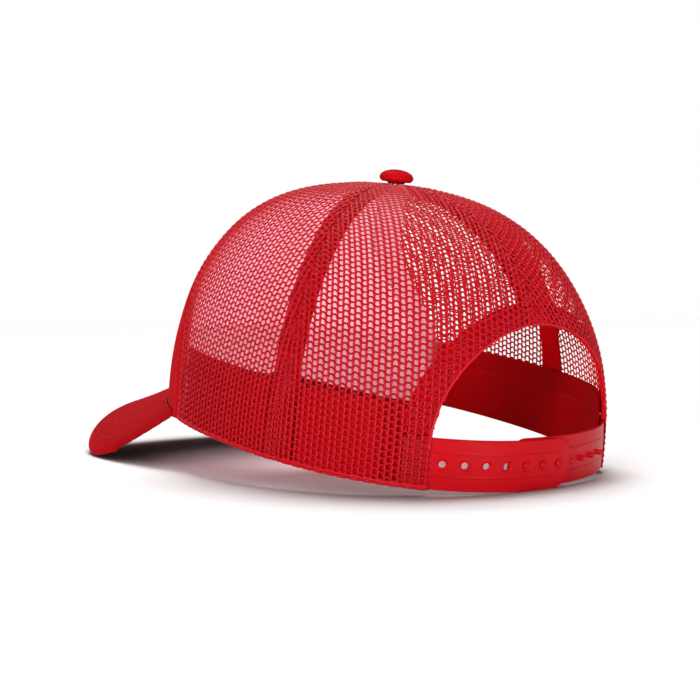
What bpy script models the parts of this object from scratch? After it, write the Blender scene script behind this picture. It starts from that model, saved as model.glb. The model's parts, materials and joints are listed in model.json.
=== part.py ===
"""Five-panel trucker cap with a mesh back and a snap strap.

The cap is modelled in its own upright frame: rim in the plane z = 0, crown towards +Z, visor
towards -Y, the wearer's left towards +X.  An empty then lays it on a table, where it stands on
the two low sides of its visor and on the back of its strap.
Azimuth is 0 at the back of the head, 90 degrees at the wearer's left and 180 at the front.
"""

import math

import bmesh
import bpy
from mathutils import Matrix, Vector

# ---------------------------------------------------------------- driving dimensions (metres)
RIM_HALF_LENGTH = 0.1022        # outside of the rim, front to back
RIM_HALF_WIDTH = 0.0806         # outside of the rim, side to side
RIM_POWER = 2.27                # how square the rim is: 2 is an ellipse
CROWN_HEIGHT = 0.1067
CROWN_TOP_SHIFT = -0.0029       # the crown's top lies this far towards the front
DOME_POWER_FRONT = 2.61         # how square the dome is at the front, the sides and the back
DOME_POWER_SIDE = 2.49
DOME_POWER_BACK = 2.24

GAP = 0.0003                    # between pieces that touch
MESH_THICKNESS = 0.0008
FRONT_THICKNESS = 0.0008
BACKING_THICKNESS = 0.0012
TAPE_THICKNESS = 0.0006
TAPE_WIDTH = 0.0130

REAR_SEAM = math.radians(74.9)          # azimuth of the seam between side and rear mesh
FRONT_SEAM_LOW = math.radians(112.5)    # front seam at the rim
FRONT_SEAM_HIGH = math.radians(133.5)   # front seam near the button
FRONT_SEAM_BEND = (0.0, 0.5)            # share of the dome over which it swings forward
BUTTON_HOLE_SHARE = 0.975               # share of the dome at which the panels end
FRONT_COLUMNS = 40                      # as fine as the sweatband, so that facets stay apart

ARCH_HALF_WIDTH = 0.0490
ARCH_TOP = 0.0605
ARCH_SPRING = 0.0150            # the arch is straight below this height
BINDING_WIDTH = 0.0085

SWEATBAND_HEIGHT = 0.0310
SWEATBAND_PLY = 0.0005
INTERLINING_THICKNESS = 0.0006

STRAP_HEIGHT = 0.0192
STRAP_LIFT = 0.0002             # bottom of the hole strap above the rim plane
PEG_STRAP_LIFT = 0.0008         # the same for the peg strap, which stays off the table
STRAP_THICKNESS = 0.0012
HINGE_MARGIN = 0.0023           # from the arch's edge to the hinge of each strap, along the rim
STRAP_TAB_LENGTH = 0.0130
STRAP_END_RADIUS = 0.0080
HOLE_COUNT = 7
PEG_PITCH = 0.0086
PEG_RADIUS = 0.0010
PEG_LENGTH = 0.0018
HOLE_RADIUS = 0.0016
FIRST_HOLE_MARGIN = 0.0019      # from the hinge to the nearest hole
LAST_PEG_MARGIN = 0.0110        # from the hinge to the nearest peg, at least
ENGAGED_PEGS = 3
END_MARGIN = 0.0070             # last hole or peg to the end of its strap

VISOR_AZIMUTH = math.radians(115.9)     # where the visor's corners meet the rim
VISOR_LENGTH = 0.0673           # from the front of the rim to the visor's tip
VISOR_HALF_WIDTH = 0.0760
VISOR_WIDEST = -0.0898          # y of the widest place of the visor
VISOR_POWER = 2.26
VISOR_ARCH_RADIUS = 0.0957
VISOR_SLOPE = 0.5623            # fall per metre forward, at the corners
VISOR_FLATTENING = 0.8064       # how the fall eases off towards the tip, per metre
VISOR_LIFT = 0.0017             # middle of the board over the rim, at the corners
BOARD_THICKNESS = 0.0014
COVER_THICKNESS = 0.00035
VISOR_CLEARANCE = 0.0005        # between the crown's wall and the visor's root
RIM_RAMP = math.radians(3.0)    # the rim leaves its plane over this azimuth

BUTTON_RADIUS = 0.00725
BUTTON_HEIGHT = 0.0054
BUTTON_NECK = 0.0008            # clear height between crown and button
BUTTON_CLOTH = 0.0005
SHANK_RADIUS = 0.0016
WASHER_RADIUS = 0.0060
WASHER_THICKNESS = 0.0008

# ---------------------------------------------------------------- values that follow from them
TAPE_DEPTH = MESH_THICKNESS + GAP
BACKING_DEPTH = FRONT_THICKNESS + GAP
STRAP_DEPTH = MESH_THICKNESS + GAP
BINDING_DEPTH = MESH_THICKNESS + GAP
SWEATBAND_DEPTH = max(BACKING_DEPTH + BACKING_THICKNESS, STRAP_DEPTH + STRAP_THICKNESS) + GAP
SWEATBAND_THICKNESS = 2 * SWEATBAND_PLY + INTERLINING_THICKNESS + 2 * GAP
VISOR_THICKNESS = BOARD_THICKNESS + 2 * COVER_THICKNESS + 2 * GAP
ARCH_EDGE_MARGIN = 0.0015       # sweatband ends this far behind the arch's edge
TAPE_MAX_HALF_ANGLE = math.radians(27.0)
BUTTON_BASE = CROWN_HEIGHT + BUTTON_NECK

RED = (0.58, 0.006, 0.014, 1.0)
DARK_RED = (0.30, 0.004, 0.010, 1.0)
STRAP_RED = (0.62, 0.010, 0.022, 1.0)
LINING = (0.62, 0.60, 0.63, 1.0)
BOARD_WHITE = (0.75, 0.75, 0.72, 1.0)
STEEL = (0.60, 0.60, 0.62, 1.0)


# ---------------------------------------------------------------- the crown's outer surface
def smooth(value, low, high):
    """0 below low, 1 above high, smooth between."""
    share = min(max((value - low) / (high - low), 0.0), 1.0)
    return share * share * (3.0 - 2.0 * share)


def signed_power(value, power):
    return math.copysign(abs(value) ** power, value)


def rim_point(azimuth):
    """Point of the rim's outline, as x and y."""
    x = RIM_HALF_WIDTH * signed_power(math.sin(azimuth), 2.0 / RIM_POWER)
    y = RIM_HALF_LENGTH * signed_power(math.cos(azimuth), 2.0 / RIM_POWER)
    return x, y


def dome_power(azimuth):
    back = max(math.cos(azimuth), 0.0) ** 2
    front = max(-math.cos(azimuth), 0.0) ** 2
    power = DOME_POWER_SIDE
    power += (DOME_POWER_BACK - DOME_POWER_SIDE) * back
    power += (DOME_POWER_FRONT - DOME_POWER_SIDE) * front
    return power


def dome_point(azimuth, share):
    """Outer surface; share is 0 at the rim and 1 at the top, and the wall is plumb below 0."""
    x, y = rim_point(azimuth)
    if share < 0.0:
        return Vector((x, y, CROWN_HEIGHT * share))
    power = dome_power(azimuth)
    angle = min(share, 1.0) * math.pi / 2
    spread = max(math.cos(angle), 1e-6) ** (2.0 / power)
    height = math.sin(angle) ** (2.0 / power)
    y = CROWN_TOP_SHIFT + (y - CROWN_TOP_SHIFT) * spread
    return Vector((x * spread, y, CROWN_HEIGHT * height))


def dome_normal(azimuth, share):
    step = 0.004
    around = dome_point(azimuth + step, share) - dome_point(azimuth - step, share)
    upward = dome_point(azimuth, share + step) - dome_point(azimuth, share - step)
    return upward.cross(around).normalized()


def layer_point(azimuth, share, depth):
    """Point at a depth under the outer surface."""
    return dome_point(azimuth, share) - dome_normal(azimuth, share) * depth


def share_at_height(azimuth, height):
    ratio = min(height / CROWN_HEIGHT, 1.0)
    if ratio < 0.0:
        return ratio
    return math.asin(ratio ** (dome_power(azimuth) / 2.0)) * 2.0 / math.pi


def shifted(azimuth, share, distance):
    """Azimuth moved by a distance along the surface at one height."""
    turn = math.copysign(0.02, distance)
    start = dome_point(azimuth, share)
    for _ in range(8):
        length = (dome_point(azimuth + turn, share) - start).length
        turn *= abs(distance) / max(length, 1e-7)
        turn = min(max(turn, -1.0), 1.0)
    return azimuth + turn


def rim_azimuth(arc):
    """Azimuth at a distance along the rim from the back centre."""
    azimuth = 0.0
    travelled = 0.0
    step = math.radians(0.25)
    previous = Vector(rim_point(0.0))
    while travelled < abs(arc):
        following = Vector(rim_point(azimuth + step))
        length = (following - previous).length
        if travelled + length >= abs(arc):
            azimuth += step * (abs(arc) - travelled) / length
            break
        travelled += length
        azimuth += step
        previous = following
    return math.copysign(azimuth, arc)


def azimuth_at(x, height):
    """Azimuth of the surface point at the back that has this x and height."""
    low, high = 0.0, math.radians(90.0)
    for _ in range(40):
        middle = (low + high) / 2
        if dome_point(middle, share_at_height(middle, height)).x < abs(x):
            low = middle
        else:
            high = middle
    return math.copysign(low, x)


def rim_arc(x):
    """Distance along the rim from the back centre to the point that has this x."""
    end = azimuth_at(x, 0.0)
    steps = 400
    points = [Vector(rim_point(end * i / steps)) for i in range(steps + 1)]
    return sum((after - before).length for before, after in zip(points, points[1:]))


STRAP_HINGE_ARC = rim_arc(ARCH_HALF_WIDTH) - HINGE_MARGIN
FIRST_HOLE_ARC = STRAP_HINGE_ARC - FIRST_HOLE_MARGIN


# ---------------------------------------------------------------- the visor's middle surface
def arch_fall(x):
    return VISOR_ARCH_RADIUS - math.sqrt(max(VISOR_ARCH_RADIUS ** 2 - x * x, 0.0))


def visor_height(x, y):
    corner_x, corner_y = rim_point(VISOR_AZIMUTH)
    forward = corner_y - y
    fall = arch_fall(x) + VISOR_SLOPE * forward - VISOR_FLATTENING * forward ** 2
    return arch_fall(corner_x) - fall + VISOR_LIFT


def visor_steepness(x, y):
    """Vertical step for one unit along the surface's normal."""
    forward = rim_point(VISOR_AZIMUTH)[1] - y
    sideways = x / math.sqrt(max(VISOR_ARCH_RADIUS ** 2 - x * x, 1e-9))
    return math.sqrt(1.0 + sideways ** 2 + (VISOR_SLOPE - 2 * VISOR_FLATTENING * forward) ** 2)


def rim_height(azimuth):
    """Lower edge of the crown: flat, and level with the visor's underside at the front."""
    x, y = rim_point(azimuth)
    underside = visor_height(x, y) - VISOR_THICKNESS / 2 * visor_steepness(x, y)
    from_front = abs(azimuth) if abs(azimuth) <= math.pi else math.tau - abs(azimuth)
    return underside * smooth(from_front, VISOR_AZIMUTH - RIM_RAMP, VISOR_AZIMUTH)


def visor_outline(turn):
    """Outer edge in plan; turn runs from -90 degrees to 90 degrees across the visor."""
    x = VISOR_HALF_WIDTH * signed_power(math.sin(turn), 2.0 / VISOR_POWER)
    reach = RIM_HALF_LENGTH + VISOR_LENGTH + VISOR_WIDEST
    y = VISOR_WIDEST - reach * abs(math.cos(turn)) ** (2.0 / VISOR_POWER)
    return Vector((x, y))


def visor_root(turn):
    """Inner edge in plan, along the crown's wall."""
    azimuth = math.pi - (math.pi - VISOR_AZIMUTH) * turn / (math.pi / 2)
    point = layer_point(azimuth, 0.0, -VISOR_CLEARANCE)
    return Vector((point.x, point.y))


def visor_point(turn, share, lift):
    inner = visor_root(turn)
    plan = inner + (visor_outline(turn) - inner) * share
    height = visor_height(plan.x, plan.y) + lift * visor_steepness(plan.x, plan.y)
    return Vector((plan.x, plan.y, height))


# ---------------------------------------------------------------- building blocks
def clear_scene():
    for old in list(bpy.data.objects):
        bpy.data.objects.remove(old, do_unlink=True)


def new_collection(name):
    collection = bpy.data.collections.new(name)
    bpy.context.scene.collection.children.link(collection)
    return collection


def make_material(name, colour, roughness, metallic=0.0):
    material = bpy.data.materials.new(name)
    material.use_nodes = True
    shader = material.node_tree.nodes["Principled BSDF"]
    shader.inputs["Base Color"].default_value = colour
    shader.inputs["Roughness"].default_value = roughness
    shader.inputs["Metallic"].default_value = metallic
    material.diffuse_color = colour
    return material


def object_from_bmesh(name, bm, collection, material=None, origin=Vector()):
    bmesh.ops.translate(bm, verts=bm.verts, vec=-origin)
    mesh = bpy.data.meshes.new(name)
    bm.to_mesh(mesh)
    bm.free()
    mesh.shade_smooth()
    mesh.set_sharp_from_angle(angle=math.radians(40.0))
    if material:
        mesh.materials.append(material)
    part = bpy.data.objects.new(name, mesh)
    part.location = origin
    collection.objects.link(part)
    return part


def sheet(name, columns, rows, place, thickness, collection, material, origin=Vector()):
    """A grid bent by place(across, up), both 0 to 1, and thickened inwards.

    Across times up points into the cap, so the faces are turned to look out of it.
    """
    bm = bmesh.new()
    bmesh.ops.create_grid(bm, x_segments=columns, y_segments=rows, size=0.5)
    for vertex in bm.verts:
        vertex.co = place(vertex.co.x + 0.5, vertex.co.y + 0.5)
    bmesh.ops.reverse_faces(bm, faces=bm.faces)
    part = object_from_bmesh(name, bm, collection, material, origin)
    shell = part.modifiers.new("thickness", "SOLIDIFY")
    shell.thickness = thickness
    shell.offset = -1.0
    shell.use_even_offset = True
    return part


def band(name, section, stations, place, collection, material):
    """A closed section of (depth, height) pairs carried along stations by place."""
    bm = bmesh.new()
    rings = []
    for station in stations:
        rings.append([bm.verts.new(place(station, depth, height)) for depth, height in section])
    count = len(section)
    for ring, following in zip(rings, rings[1:]):
        for i in range(count):
            j = (i + 1) % count
            bm.faces.new((ring[i], ring[j], following[j], following[i]))
    bm.faces.new(reversed(rings[0]))
    bm.faces.new(rings[-1])
    bmesh.ops.recalc_face_normals(bm, faces=bm.faces)
    return object_from_bmesh(name, bm, collection, material)


def turned(name, profile, steps, collection, material):
    """A profile of (radius, height) pairs, top to bottom, turned round the crown's top."""
    bm = bmesh.new()
    line = [bm.verts.new((radius, 0.0, height)) for radius, height in profile]
    for upper, lower in zip(line, line[1:]):
        bm.edges.new((upper, lower))
    part = object_from_bmesh(name, bm, collection, material)
    part.location = (0.0, CROWN_TOP_SHIFT, 0.0)
    screw = part.modifiers.new("turn", "SCREW")
    screw.axis = "Z"
    screw.angle = math.tau
    screw.steps = steps
    screw.render_steps = steps
    screw.use_merge_vertices = True
    screw.merge_threshold = 0.00005
    return part


def add_boolean(part, tool, operation):
    cut = part.modifiers.new(operation.lower(), "BOOLEAN")
    cut.operation = operation
    cut.object = tool
    cut.solver = "EXACT"


def hide_tool(tool):
    tool.hide_render = True
    tool.display_type = "WIRE"


# ---------------------------------------------------------------- crown
def front_seam(share):
    swing = smooth(share, *FRONT_SEAM_BEND)
    return FRONT_SEAM_LOW + (FRONT_SEAM_HIGH - FRONT_SEAM_LOW) * swing


def panel(name, left, right, columns, depth, thickness, collection, material, inset=GAP / 2):
    """Crown panel between two seams, each a function of the share of the dome."""
    def place(across, up):
        azimuth = left(0.0) + (right(0.0) - left(0.0)) * across
        low = share_at_height(azimuth, rim_height(azimuth))
        share = low + (BUTTON_HOLE_SHARE - low) * up
        start = shifted(left(share), share, inset)
        end = shifted(right(share), share, -inset)
        return layer_point(start + (end - start) * across, share, depth)
    return sheet(name, columns, 14, place, thickness, collection, material)


def seam_tape(name, seam, foot, rows, collection, material):
    """Tape behind a seam, from the rim or a foot above it up to the button."""
    half_turn = shifted(seam(0.0), 0.0, TAPE_WIDTH / 2) - seam(0.0)

    def place(across, up):
        edge = seam(0.0) + half_turn * (2 * across - 1)
        low = share_at_height(edge, max(foot, rim_height(edge)))
        share = low + (BUTTON_HOLE_SHARE - low) * up
        centre = seam(share)
        reach = shifted(centre, share, TAPE_WIDTH / 2) - centre
        reach = min(reach, TAPE_MAX_HALF_ANGLE)
        return layer_point(centre + reach * (2 * across - 1), share, TAPE_DEPTH)
    return sheet(name, 2, rows, place, TAPE_THICKNESS, collection, material)


def arch_line(turn, widening):
    """Arch edge as x and height; turn 0 is the left foot of the curve, pi the right one."""
    rise = ARCH_TOP - ARCH_SPRING
    x = (ARCH_HALF_WIDTH + widening) * math.cos(turn)
    return x, ARCH_SPRING + (rise + widening) * math.sin(turn)


def arch_tool(collection):
    """Solid that cuts the rear opening: an extruded arch with straight legs."""
    curve = bpy.data.curves.new("arch_outline", "CURVE")
    curve.dimensions = "2D"
    curve.fill_mode = "BOTH"
    curve.extrude = RIM_HALF_LENGTH / 2
    below = -0.02
    outline = [(-ARCH_HALF_WIDTH, below), (ARCH_HALF_WIDTH, below)]
    arch_points = 36
    for i in range(arch_points + 1):
        outline.append(arch_line(math.pi * i / arch_points, 0.0))
    spline = curve.splines.new("POLY")
    spline.points.add(len(outline) - 1)
    for point, (x, height) in zip(spline.points, outline):
        point.co = (x, height, 0.0, 1.0)
    spline.use_cyclic_u = True
    flat = bpy.data.objects.new("arch_outline", curve)
    collection.objects.link(flat)
    flat.matrix_world = (Matrix.Translation((0.0, RIM_HALF_LENGTH, 0.0))
                         @ Matrix.Rotation(math.pi / 2, 4, "X"))
    bpy.context.view_layer.update()
    graph = bpy.context.evaluated_depsgraph_get()
    mesh = bpy.data.meshes.new_from_object(flat.evaluated_get(graph))
    bm = bmesh.new()
    bm.from_mesh(mesh)
    bmesh.ops.remove_doubles(bm, verts=bm.verts, dist=0.000001)
    bm.to_mesh(mesh)
    bm.free()
    tool = bpy.data.objects.new("arch_tool", mesh)
    tool.matrix_world = flat.matrix_world
    collection.objects.link(tool)
    bpy.data.objects.remove(flat, do_unlink=True)
    hide_tool(tool)
    return tool


def arch_binding(collection, material):
    """Tape along the arch, from the top of one strap to the top of the other."""
    strap_top = max(STRAP_LIFT, PEG_STRAP_LIFT) + STRAP_HEIGHT + GAP
    foot = math.asin((strap_top - ARCH_SPRING) / (ARCH_TOP - ARCH_SPRING))

    def place(across, up):
        turn = foot + (math.pi - 2 * foot) * across
        x, height = arch_line(turn, GAP + (BINDING_WIDTH - GAP) * (1 - up))
        height = max(height, strap_top)
        azimuth = azimuth_at(x, height)
        return layer_point(azimuth, share_at_height(azimuth, height), BINDING_DEPTH)
    return sheet("arch_binding", 40, 2, place, TAPE_THICKNESS, collection, material)


def build_crown(parts, tools):
    net = make_material("red_mesh", RED, 0.65)
    cloth = make_material("red_front_cloth", RED, 0.75)
    backing = make_material("pale_backing", LINING, 0.6)
    tape = make_material("dark_red_tape", DARK_RED, 0.8)

    def rear_left(share):
        return REAR_SEAM

    def rear_right(share):
        return -REAR_SEAM

    def middle_back(share):
        return 0.0

    def front_right(share):
        return -front_seam(share)

    def front_from_right(share):
        return math.tau - front_seam(share)

    built = [
        panel("front_panel", front_seam, front_from_right, FRONT_COLUMNS, 0.0,
              FRONT_THICKNESS, parts, cloth),
        panel("front_panel_backing", front_seam, front_from_right, FRONT_COLUMNS,
              BACKING_DEPTH, BACKING_THICKNESS, parts, backing, inset=TAPE_WIDTH / 2 + GAP),
        panel("side_mesh_left", rear_left, front_seam, 9, 0.0, MESH_THICKNESS, parts, net),
        panel("side_mesh_right", front_right, rear_right, 9, 0.0, MESH_THICKNESS, parts, net),
    ]
    rear = [
        panel("rear_mesh_left", middle_back, rear_left, 14, 0.0, MESH_THICKNESS, parts, net),
        panel("rear_mesh_right", rear_right, middle_back, 14, 0.0, MESH_THICKNESS, parts, net),
    ]
    opening = arch_tool(tools)
    for part in rear:
        add_boolean(part, opening, "DIFFERENCE")

    binding_top = ARCH_TOP + BINDING_WIDTH + GAP
    built += rear
    built += [
        seam_tape("front_left_seam_tape", front_seam, 0.0, 14, parts, tape),
        seam_tape("front_right_seam_tape", front_right, 0.0, 14, parts, tape),
        seam_tape("rear_left_seam_tape", rear_left, 0.0, 14, parts, tape),
        seam_tape("rear_right_seam_tape", rear_right, 0.0, 14, parts, tape),
        seam_tape("centre_back_seam_tape", middle_back, binding_top, 8, parts, tape),
        arch_binding(parts, tape),
    ]
    return built


# ---------------------------------------------------------------- sweatband
def sweatband_stations():
    start = azimuth_at(ARCH_HALF_WIDTH, 0.0)
    start = shifted(start, 0.0, ARCH_EDGE_MARGIN)
    count = 64
    return [start + (math.tau - 2 * start) * i / count for i in range(count + 1)]


def sweatband_place(azimuth, depth, height):
    """The band's foot follows the rim, so at the front it climbs over the visor's seam."""
    foot = rim_height(azimuth)
    share = share_at_height(azimuth, foot + height * (SWEATBAND_HEIGHT - foot) / SWEATBAND_HEIGHT)
    return layer_point(azimuth, share, depth)


def build_sweatband(parts):
    cloth = make_material("dark_red_sweatband", DARK_RED, 0.85)
    filling = make_material("sweatband_interlining", LINING, 0.9)
    outer = SWEATBAND_DEPTH
    inner = outer + SWEATBAND_THICKNESS
    top = SWEATBAND_HEIGHT
    ply = SWEATBAND_PLY
    fold = [
        (outer, 0.0),
        (outer, top),
        (inner, top),
        (inner, 0.0),
        (inner - ply, 0.0),
        (inner - ply, top - ply),
        (outer + ply, top - ply),
        (outer + ply, 0.0),
    ]
    strip = [
        (outer + ply + GAP, 0.0),
        (outer + ply + GAP, top - ply - GAP),
        (inner - ply - GAP, top - ply - GAP),
        (inner - ply - GAP, 0.0),
    ]
    stations = sweatband_stations()
    return [
        band("sweatband", fold, stations, sweatband_place, parts, cloth),
        band("sweatband_interlining", strip, stations, sweatband_place, parts, filling),
    ]


# ---------------------------------------------------------------- visor
def visor_layer(name, lift, thickness, inset, parts, material):
    """One layer of the visor; lift is its top over the middle surface.

    It is thickened straight down, so that its root stays plumb along the crown's wall.
    """
    bm = bmesh.new()
    bmesh.ops.create_grid(bm, x_segments=26, y_segments=6, size=0.5)
    lower = bmesh.ops.extrude_face_region(bm, geom=bm.faces[:])["geom"]
    lower_verts = {item for item in lower if isinstance(item, bmesh.types.BMVert)}
    for vertex in bm.verts:
        turn = vertex.co.x * math.pi
        out = (vertex.co.y + 0.5) * (1.0 - inset)
        level = lift - thickness if vertex in lower_verts else lift
        vertex.co = visor_point(turn, out, level)
    bmesh.ops.recalc_face_normals(bm, faces=bm.faces)
    return object_from_bmesh(name, bm, parts, material)


def build_visor(parts):
    cloth = make_material("red_visor_cloth", RED, 0.75)
    board = make_material("white_visor_board", BOARD_WHITE, 0.5)
    top = VISOR_THICKNESS / 2
    board_top = BOARD_THICKNESS / 2
    under_top = -board_top - GAP
    edge = 0.01
    return [
        visor_layer("visor_top_cover", top, COVER_THICKNESS, 0.0, parts, cloth),
        visor_layer("visor_board", board_top, BOARD_THICKNESS, edge, parts, board),
        visor_layer("visor_under_cover", under_top, COVER_THICKNESS, 0.0, parts, cloth),
    ]


# ---------------------------------------------------------------- button
def dome_profile(radius, height, base, points):
    """Quarter of a flattened dome, from its top down to its widest place."""
    profile = []
    for i in range(points + 1):
        angle = math.pi / 2 * (1 - i / points)
        profile.append((radius * math.cos(angle), base + height * math.sin(angle)))
    profile[0] = (0.0, base + height)
    return profile


def build_button(parts):
    cloth = make_material("red_button_cloth", RED, 0.75)
    steel = make_material("button_steel", STEEL, 0.35, 1.0)
    skirt = BUTTON_HEIGHT * 0.3
    widest = BUTTON_BASE + skirt
    rise = BUTTON_HEIGHT - skirt
    lip = BUTTON_RADIUS * 0.35
    core_gap = BUTTON_CLOTH + GAP

    outside = dome_profile(BUTTON_RADIUS, rise, widest, 7)
    outside += [(BUTTON_RADIUS * 0.93, BUTTON_BASE + skirt * 0.35),
                (BUTTON_RADIUS * 0.78, BUTTON_BASE), (lip, BUTTON_BASE)]
    inside = dome_profile(BUTTON_RADIUS - BUTTON_CLOTH, rise - BUTTON_CLOTH, widest, 7)
    inside += [(BUTTON_RADIUS * 0.78, BUTTON_BASE + BUTTON_CLOTH),
               (lip, BUTTON_BASE + BUTTON_CLOTH)]
    cover = turned("button_cover", outside + inside[::-1], 24, parts, cloth)

    inner_top = CROWN_HEIGHT - TAPE_DEPTH - TAPE_THICKNESS - GAP
    core = dome_profile(BUTTON_RADIUS - core_gap, rise - core_gap, widest, 6)
    shank_end = inner_top - 2 * WASHER_THICKNESS
    core += [(BUTTON_RADIUS * 0.72, BUTTON_BASE + core_gap),
             (SHANK_RADIUS, BUTTON_BASE + core_gap),
             (SHANK_RADIUS, shank_end), (0.0, shank_end)]
    shell = turned("button_shell_and_shank", core, 24, parts, steel)

    hole = SHANK_RADIUS + GAP
    washer = [(hole, inner_top), (WASHER_RADIUS, inner_top),
              (WASHER_RADIUS, inner_top - WASHER_THICKNESS),
              (hole, inner_top - WASHER_THICKNESS), (hole, inner_top)]
    back = turned("button_back_washer", washer, 24, parts, steel)
    return [cover, shell, back]


# ---------------------------------------------------------------- snap strap
def peg_depth(arc):
    """Outer face of the peg strap: it dips in under the hole strap."""
    under = STRAP_DEPTH + STRAP_THICKNESS + GAP
    return STRAP_DEPTH + (under - STRAP_DEPTH) * smooth(arc, -STRAP_HINGE_ARC, -0.018)


def hole_depth(arc):
    return STRAP_DEPTH


def strap_middle(lift):
    return lift + STRAP_HEIGHT / 2


def strap_point(arc, height, depth):
    azimuth = rim_azimuth(arc)
    return layer_point(azimuth, share_at_height(azimuth, height), depth)


def strap_strip(name, start, end, lift, depth, rounded, parts, material, origin=Vector()):
    """Strap between two arcs; where rounded, the end at `end` has rounded corners."""
    direction = math.copysign(1.0, end - start)
    columns = max(4, round(abs(end - start) / 0.0022))

    def place(across, up):
        if direction < 0:
            across = 1 - across
        arc = start + (end - start) * (1 - (1 - across) ** 1.3)
        half = STRAP_HEIGHT / 2
        left_over = abs(end - arc)
        if rounded and left_over < STRAP_END_RADIUS:
            missing = STRAP_END_RADIUS - left_over
            half += math.sqrt(STRAP_END_RADIUS ** 2 - missing ** 2) - STRAP_END_RADIUS
        height = strap_middle(lift) + half * (2 * up - 1)
        return strap_point(arc, height, depth(arc))
    return sheet(name, columns, 2, place, STRAP_THICKNESS, parts, material, origin)


def along_strap(arc, lift, depth):
    """Frame whose +Z points out of the cap at a place on the strap's middle line."""
    azimuth = rim_azimuth(arc)
    share = share_at_height(azimuth, strap_middle(lift))
    turn = dome_normal(azimuth, share).to_track_quat("Z", "Y").to_matrix().to_4x4()
    return Matrix.Translation(layer_point(azimuth, share, depth)) @ turn


def hole_arcs():
    return [FIRST_HOLE_ARC - i * PEG_PITCH for i in range(HOLE_COUNT)]


def peg_arcs():
    """Pegs from the last engaged hole back towards the peg strap's root."""
    innermost = hole_arcs()[-ENGAGED_PEGS]
    room = innermost + STRAP_HINGE_ARC - LAST_PEG_MARGIN
    count = int(room / PEG_PITCH) + 1
    return [innermost - i * PEG_PITCH for i in range(count)]


def hinge_point(arc, lift, depth):
    return strap_point(arc, strap_middle(lift), depth)


def build_straps(parts, tools):
    plastic = make_material("red_strap_plastic", STRAP_RED, 0.35)
    hinge = STRAP_HINGE_ARC
    half_gap = GAP

    hole_hinge = hinge_point(hinge, STRAP_LIFT, STRAP_DEPTH)
    hole_end = hole_arcs()[-1] - END_MARGIN
    hole_strap = strap_strip("hole_strap", hinge - half_gap, hole_end, STRAP_LIFT, hole_depth,
                             True, parts, plastic, hole_hinge)
    bm = bmesh.new()
    for arc in hole_arcs():
        bmesh.ops.create_cone(bm, cap_ends=True, segments=16, radius1=HOLE_RADIUS,
                              radius2=HOLE_RADIUS, depth=4 * STRAP_THICKNESS,
                              matrix=along_strap(arc, STRAP_LIFT, STRAP_DEPTH))
    punch = object_from_bmesh("hole_punch", bm, tools, None, hole_hinge)
    hide_tool(punch)
    add_boolean(hole_strap, punch, "DIFFERENCE")

    peg_hinge = hinge_point(-hinge, PEG_STRAP_LIFT, STRAP_DEPTH + STRAP_THICKNESS)
    peg_end = peg_arcs()[0] + END_MARGIN
    peg_strap = strap_strip("peg_strap", -hinge + half_gap, peg_end, PEG_STRAP_LIFT, peg_depth,
                            True, parts, plastic, peg_hinge)
    bm = bmesh.new()
    for arc in peg_arcs():
        seat = along_strap(arc, STRAP_LIFT, peg_depth(arc))
        shape = Matrix.Diagonal((PEG_RADIUS, PEG_RADIUS, PEG_LENGTH, 1.0))
        bmesh.ops.create_uvsphere(bm, u_segments=12, v_segments=8, radius=1.0,
                                  matrix=seat @ shape)
    pegs = object_from_bmesh("peg_row", bm, tools, None, peg_hinge)
    hide_tool(pegs)
    add_boolean(peg_strap, pegs, "UNION")

    tab_end = hinge + STRAP_TAB_LENGTH
    tabs = [
        strap_strip("hole_strap_tab", hinge + half_gap, tab_end, STRAP_LIFT, hole_depth, False,
                    parts, plastic),
        strap_strip("peg_strap_tab", -hinge - half_gap, -tab_end, PEG_STRAP_LIFT, hole_depth,
                    False, parts, plastic),
    ]
    return [hole_strap, peg_strap] + tabs, [punch, pegs]


# ---------------------------------------------------------------- lay it on a table
def evaluated_points(parts):
    graph = bpy.context.evaluated_depsgraph_get()
    points = []
    for part in parts:
        shape = part.evaluated_get(graph)
        points += [shape.matrix_world @ vertex.co for vertex in shape.data.vertices]
    return points


def resting_tilt(points):
    """Turn about X that brings the visor's lowest places and the strap level."""
    front = [point for point in points if point.y < 0]
    rear = [point for point in points if point.y >= 0]

    def lowest(group, angle):
        return min(p.y * math.sin(angle) + p.z * math.cos(angle) for p in group)

    low, high = math.radians(-30.0), math.radians(10.0)
    for _ in range(50):
        middle = (low + high) / 2
        if lowest(front, middle) > lowest(rear, middle):
            low = middle
        else:
            high = middle
    return (low + high) / 2


def lay_on_table(parts, tools):
    """Tilt the cap to rest, with the origin under the middle of its box."""
    bpy.context.view_layer.update()
    points = evaluated_points(parts)
    turn = Matrix.Rotation(resting_tilt(points), 4, "X")
    turned_points = [turn @ point for point in points]
    low = [min(point[i] for point in turned_points) for i in range(3)]
    high = [max(point[i] for point in turned_points) for i in range(3)]
    shift = Vector((-(low[0] + high[0]) / 2, -(low[1] + high[1]) / 2, -low[2]))
    rest = bpy.data.objects.new("cap_at_rest", None)
    bpy.context.scene.collection.objects.link(rest)
    rest.matrix_world = Matrix.Translation(shift) @ turn
    for part in parts + tools:
        part.parent = rest
    bpy.context.view_layer.update()


def main():
    clear_scene()
    parts = new_collection("trucker_cap")
    tools = new_collection("cutters")
    built = build_crown(parts, tools)
    built += build_sweatband(parts)
    built += build_visor(parts)
    built += build_button(parts)
    straps, strap_tools = build_straps(parts, tools)
    built += straps
    lay_on_table(built, strap_tools + [bpy.data.objects["arch_tool"]])


main()
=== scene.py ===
"""Looks of the trucker mesh cap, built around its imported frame.

The cap's surfaces are worked out in the cap's own upright frame (rim in the plane z = 0, the
wearer's left +X, the visor towards -Y) and then laid down as the frame's joints say it rests.
Azimuth is 0 at the back of the head, 90 degrees at the wearer's left, 180 degrees at the front.
Depth is measured inwards from the crown's outer surface.
"""
import json
import math
import random

import bmesh
import bpy
import numpy as np
from mathutils import Matrix, Vector


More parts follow.
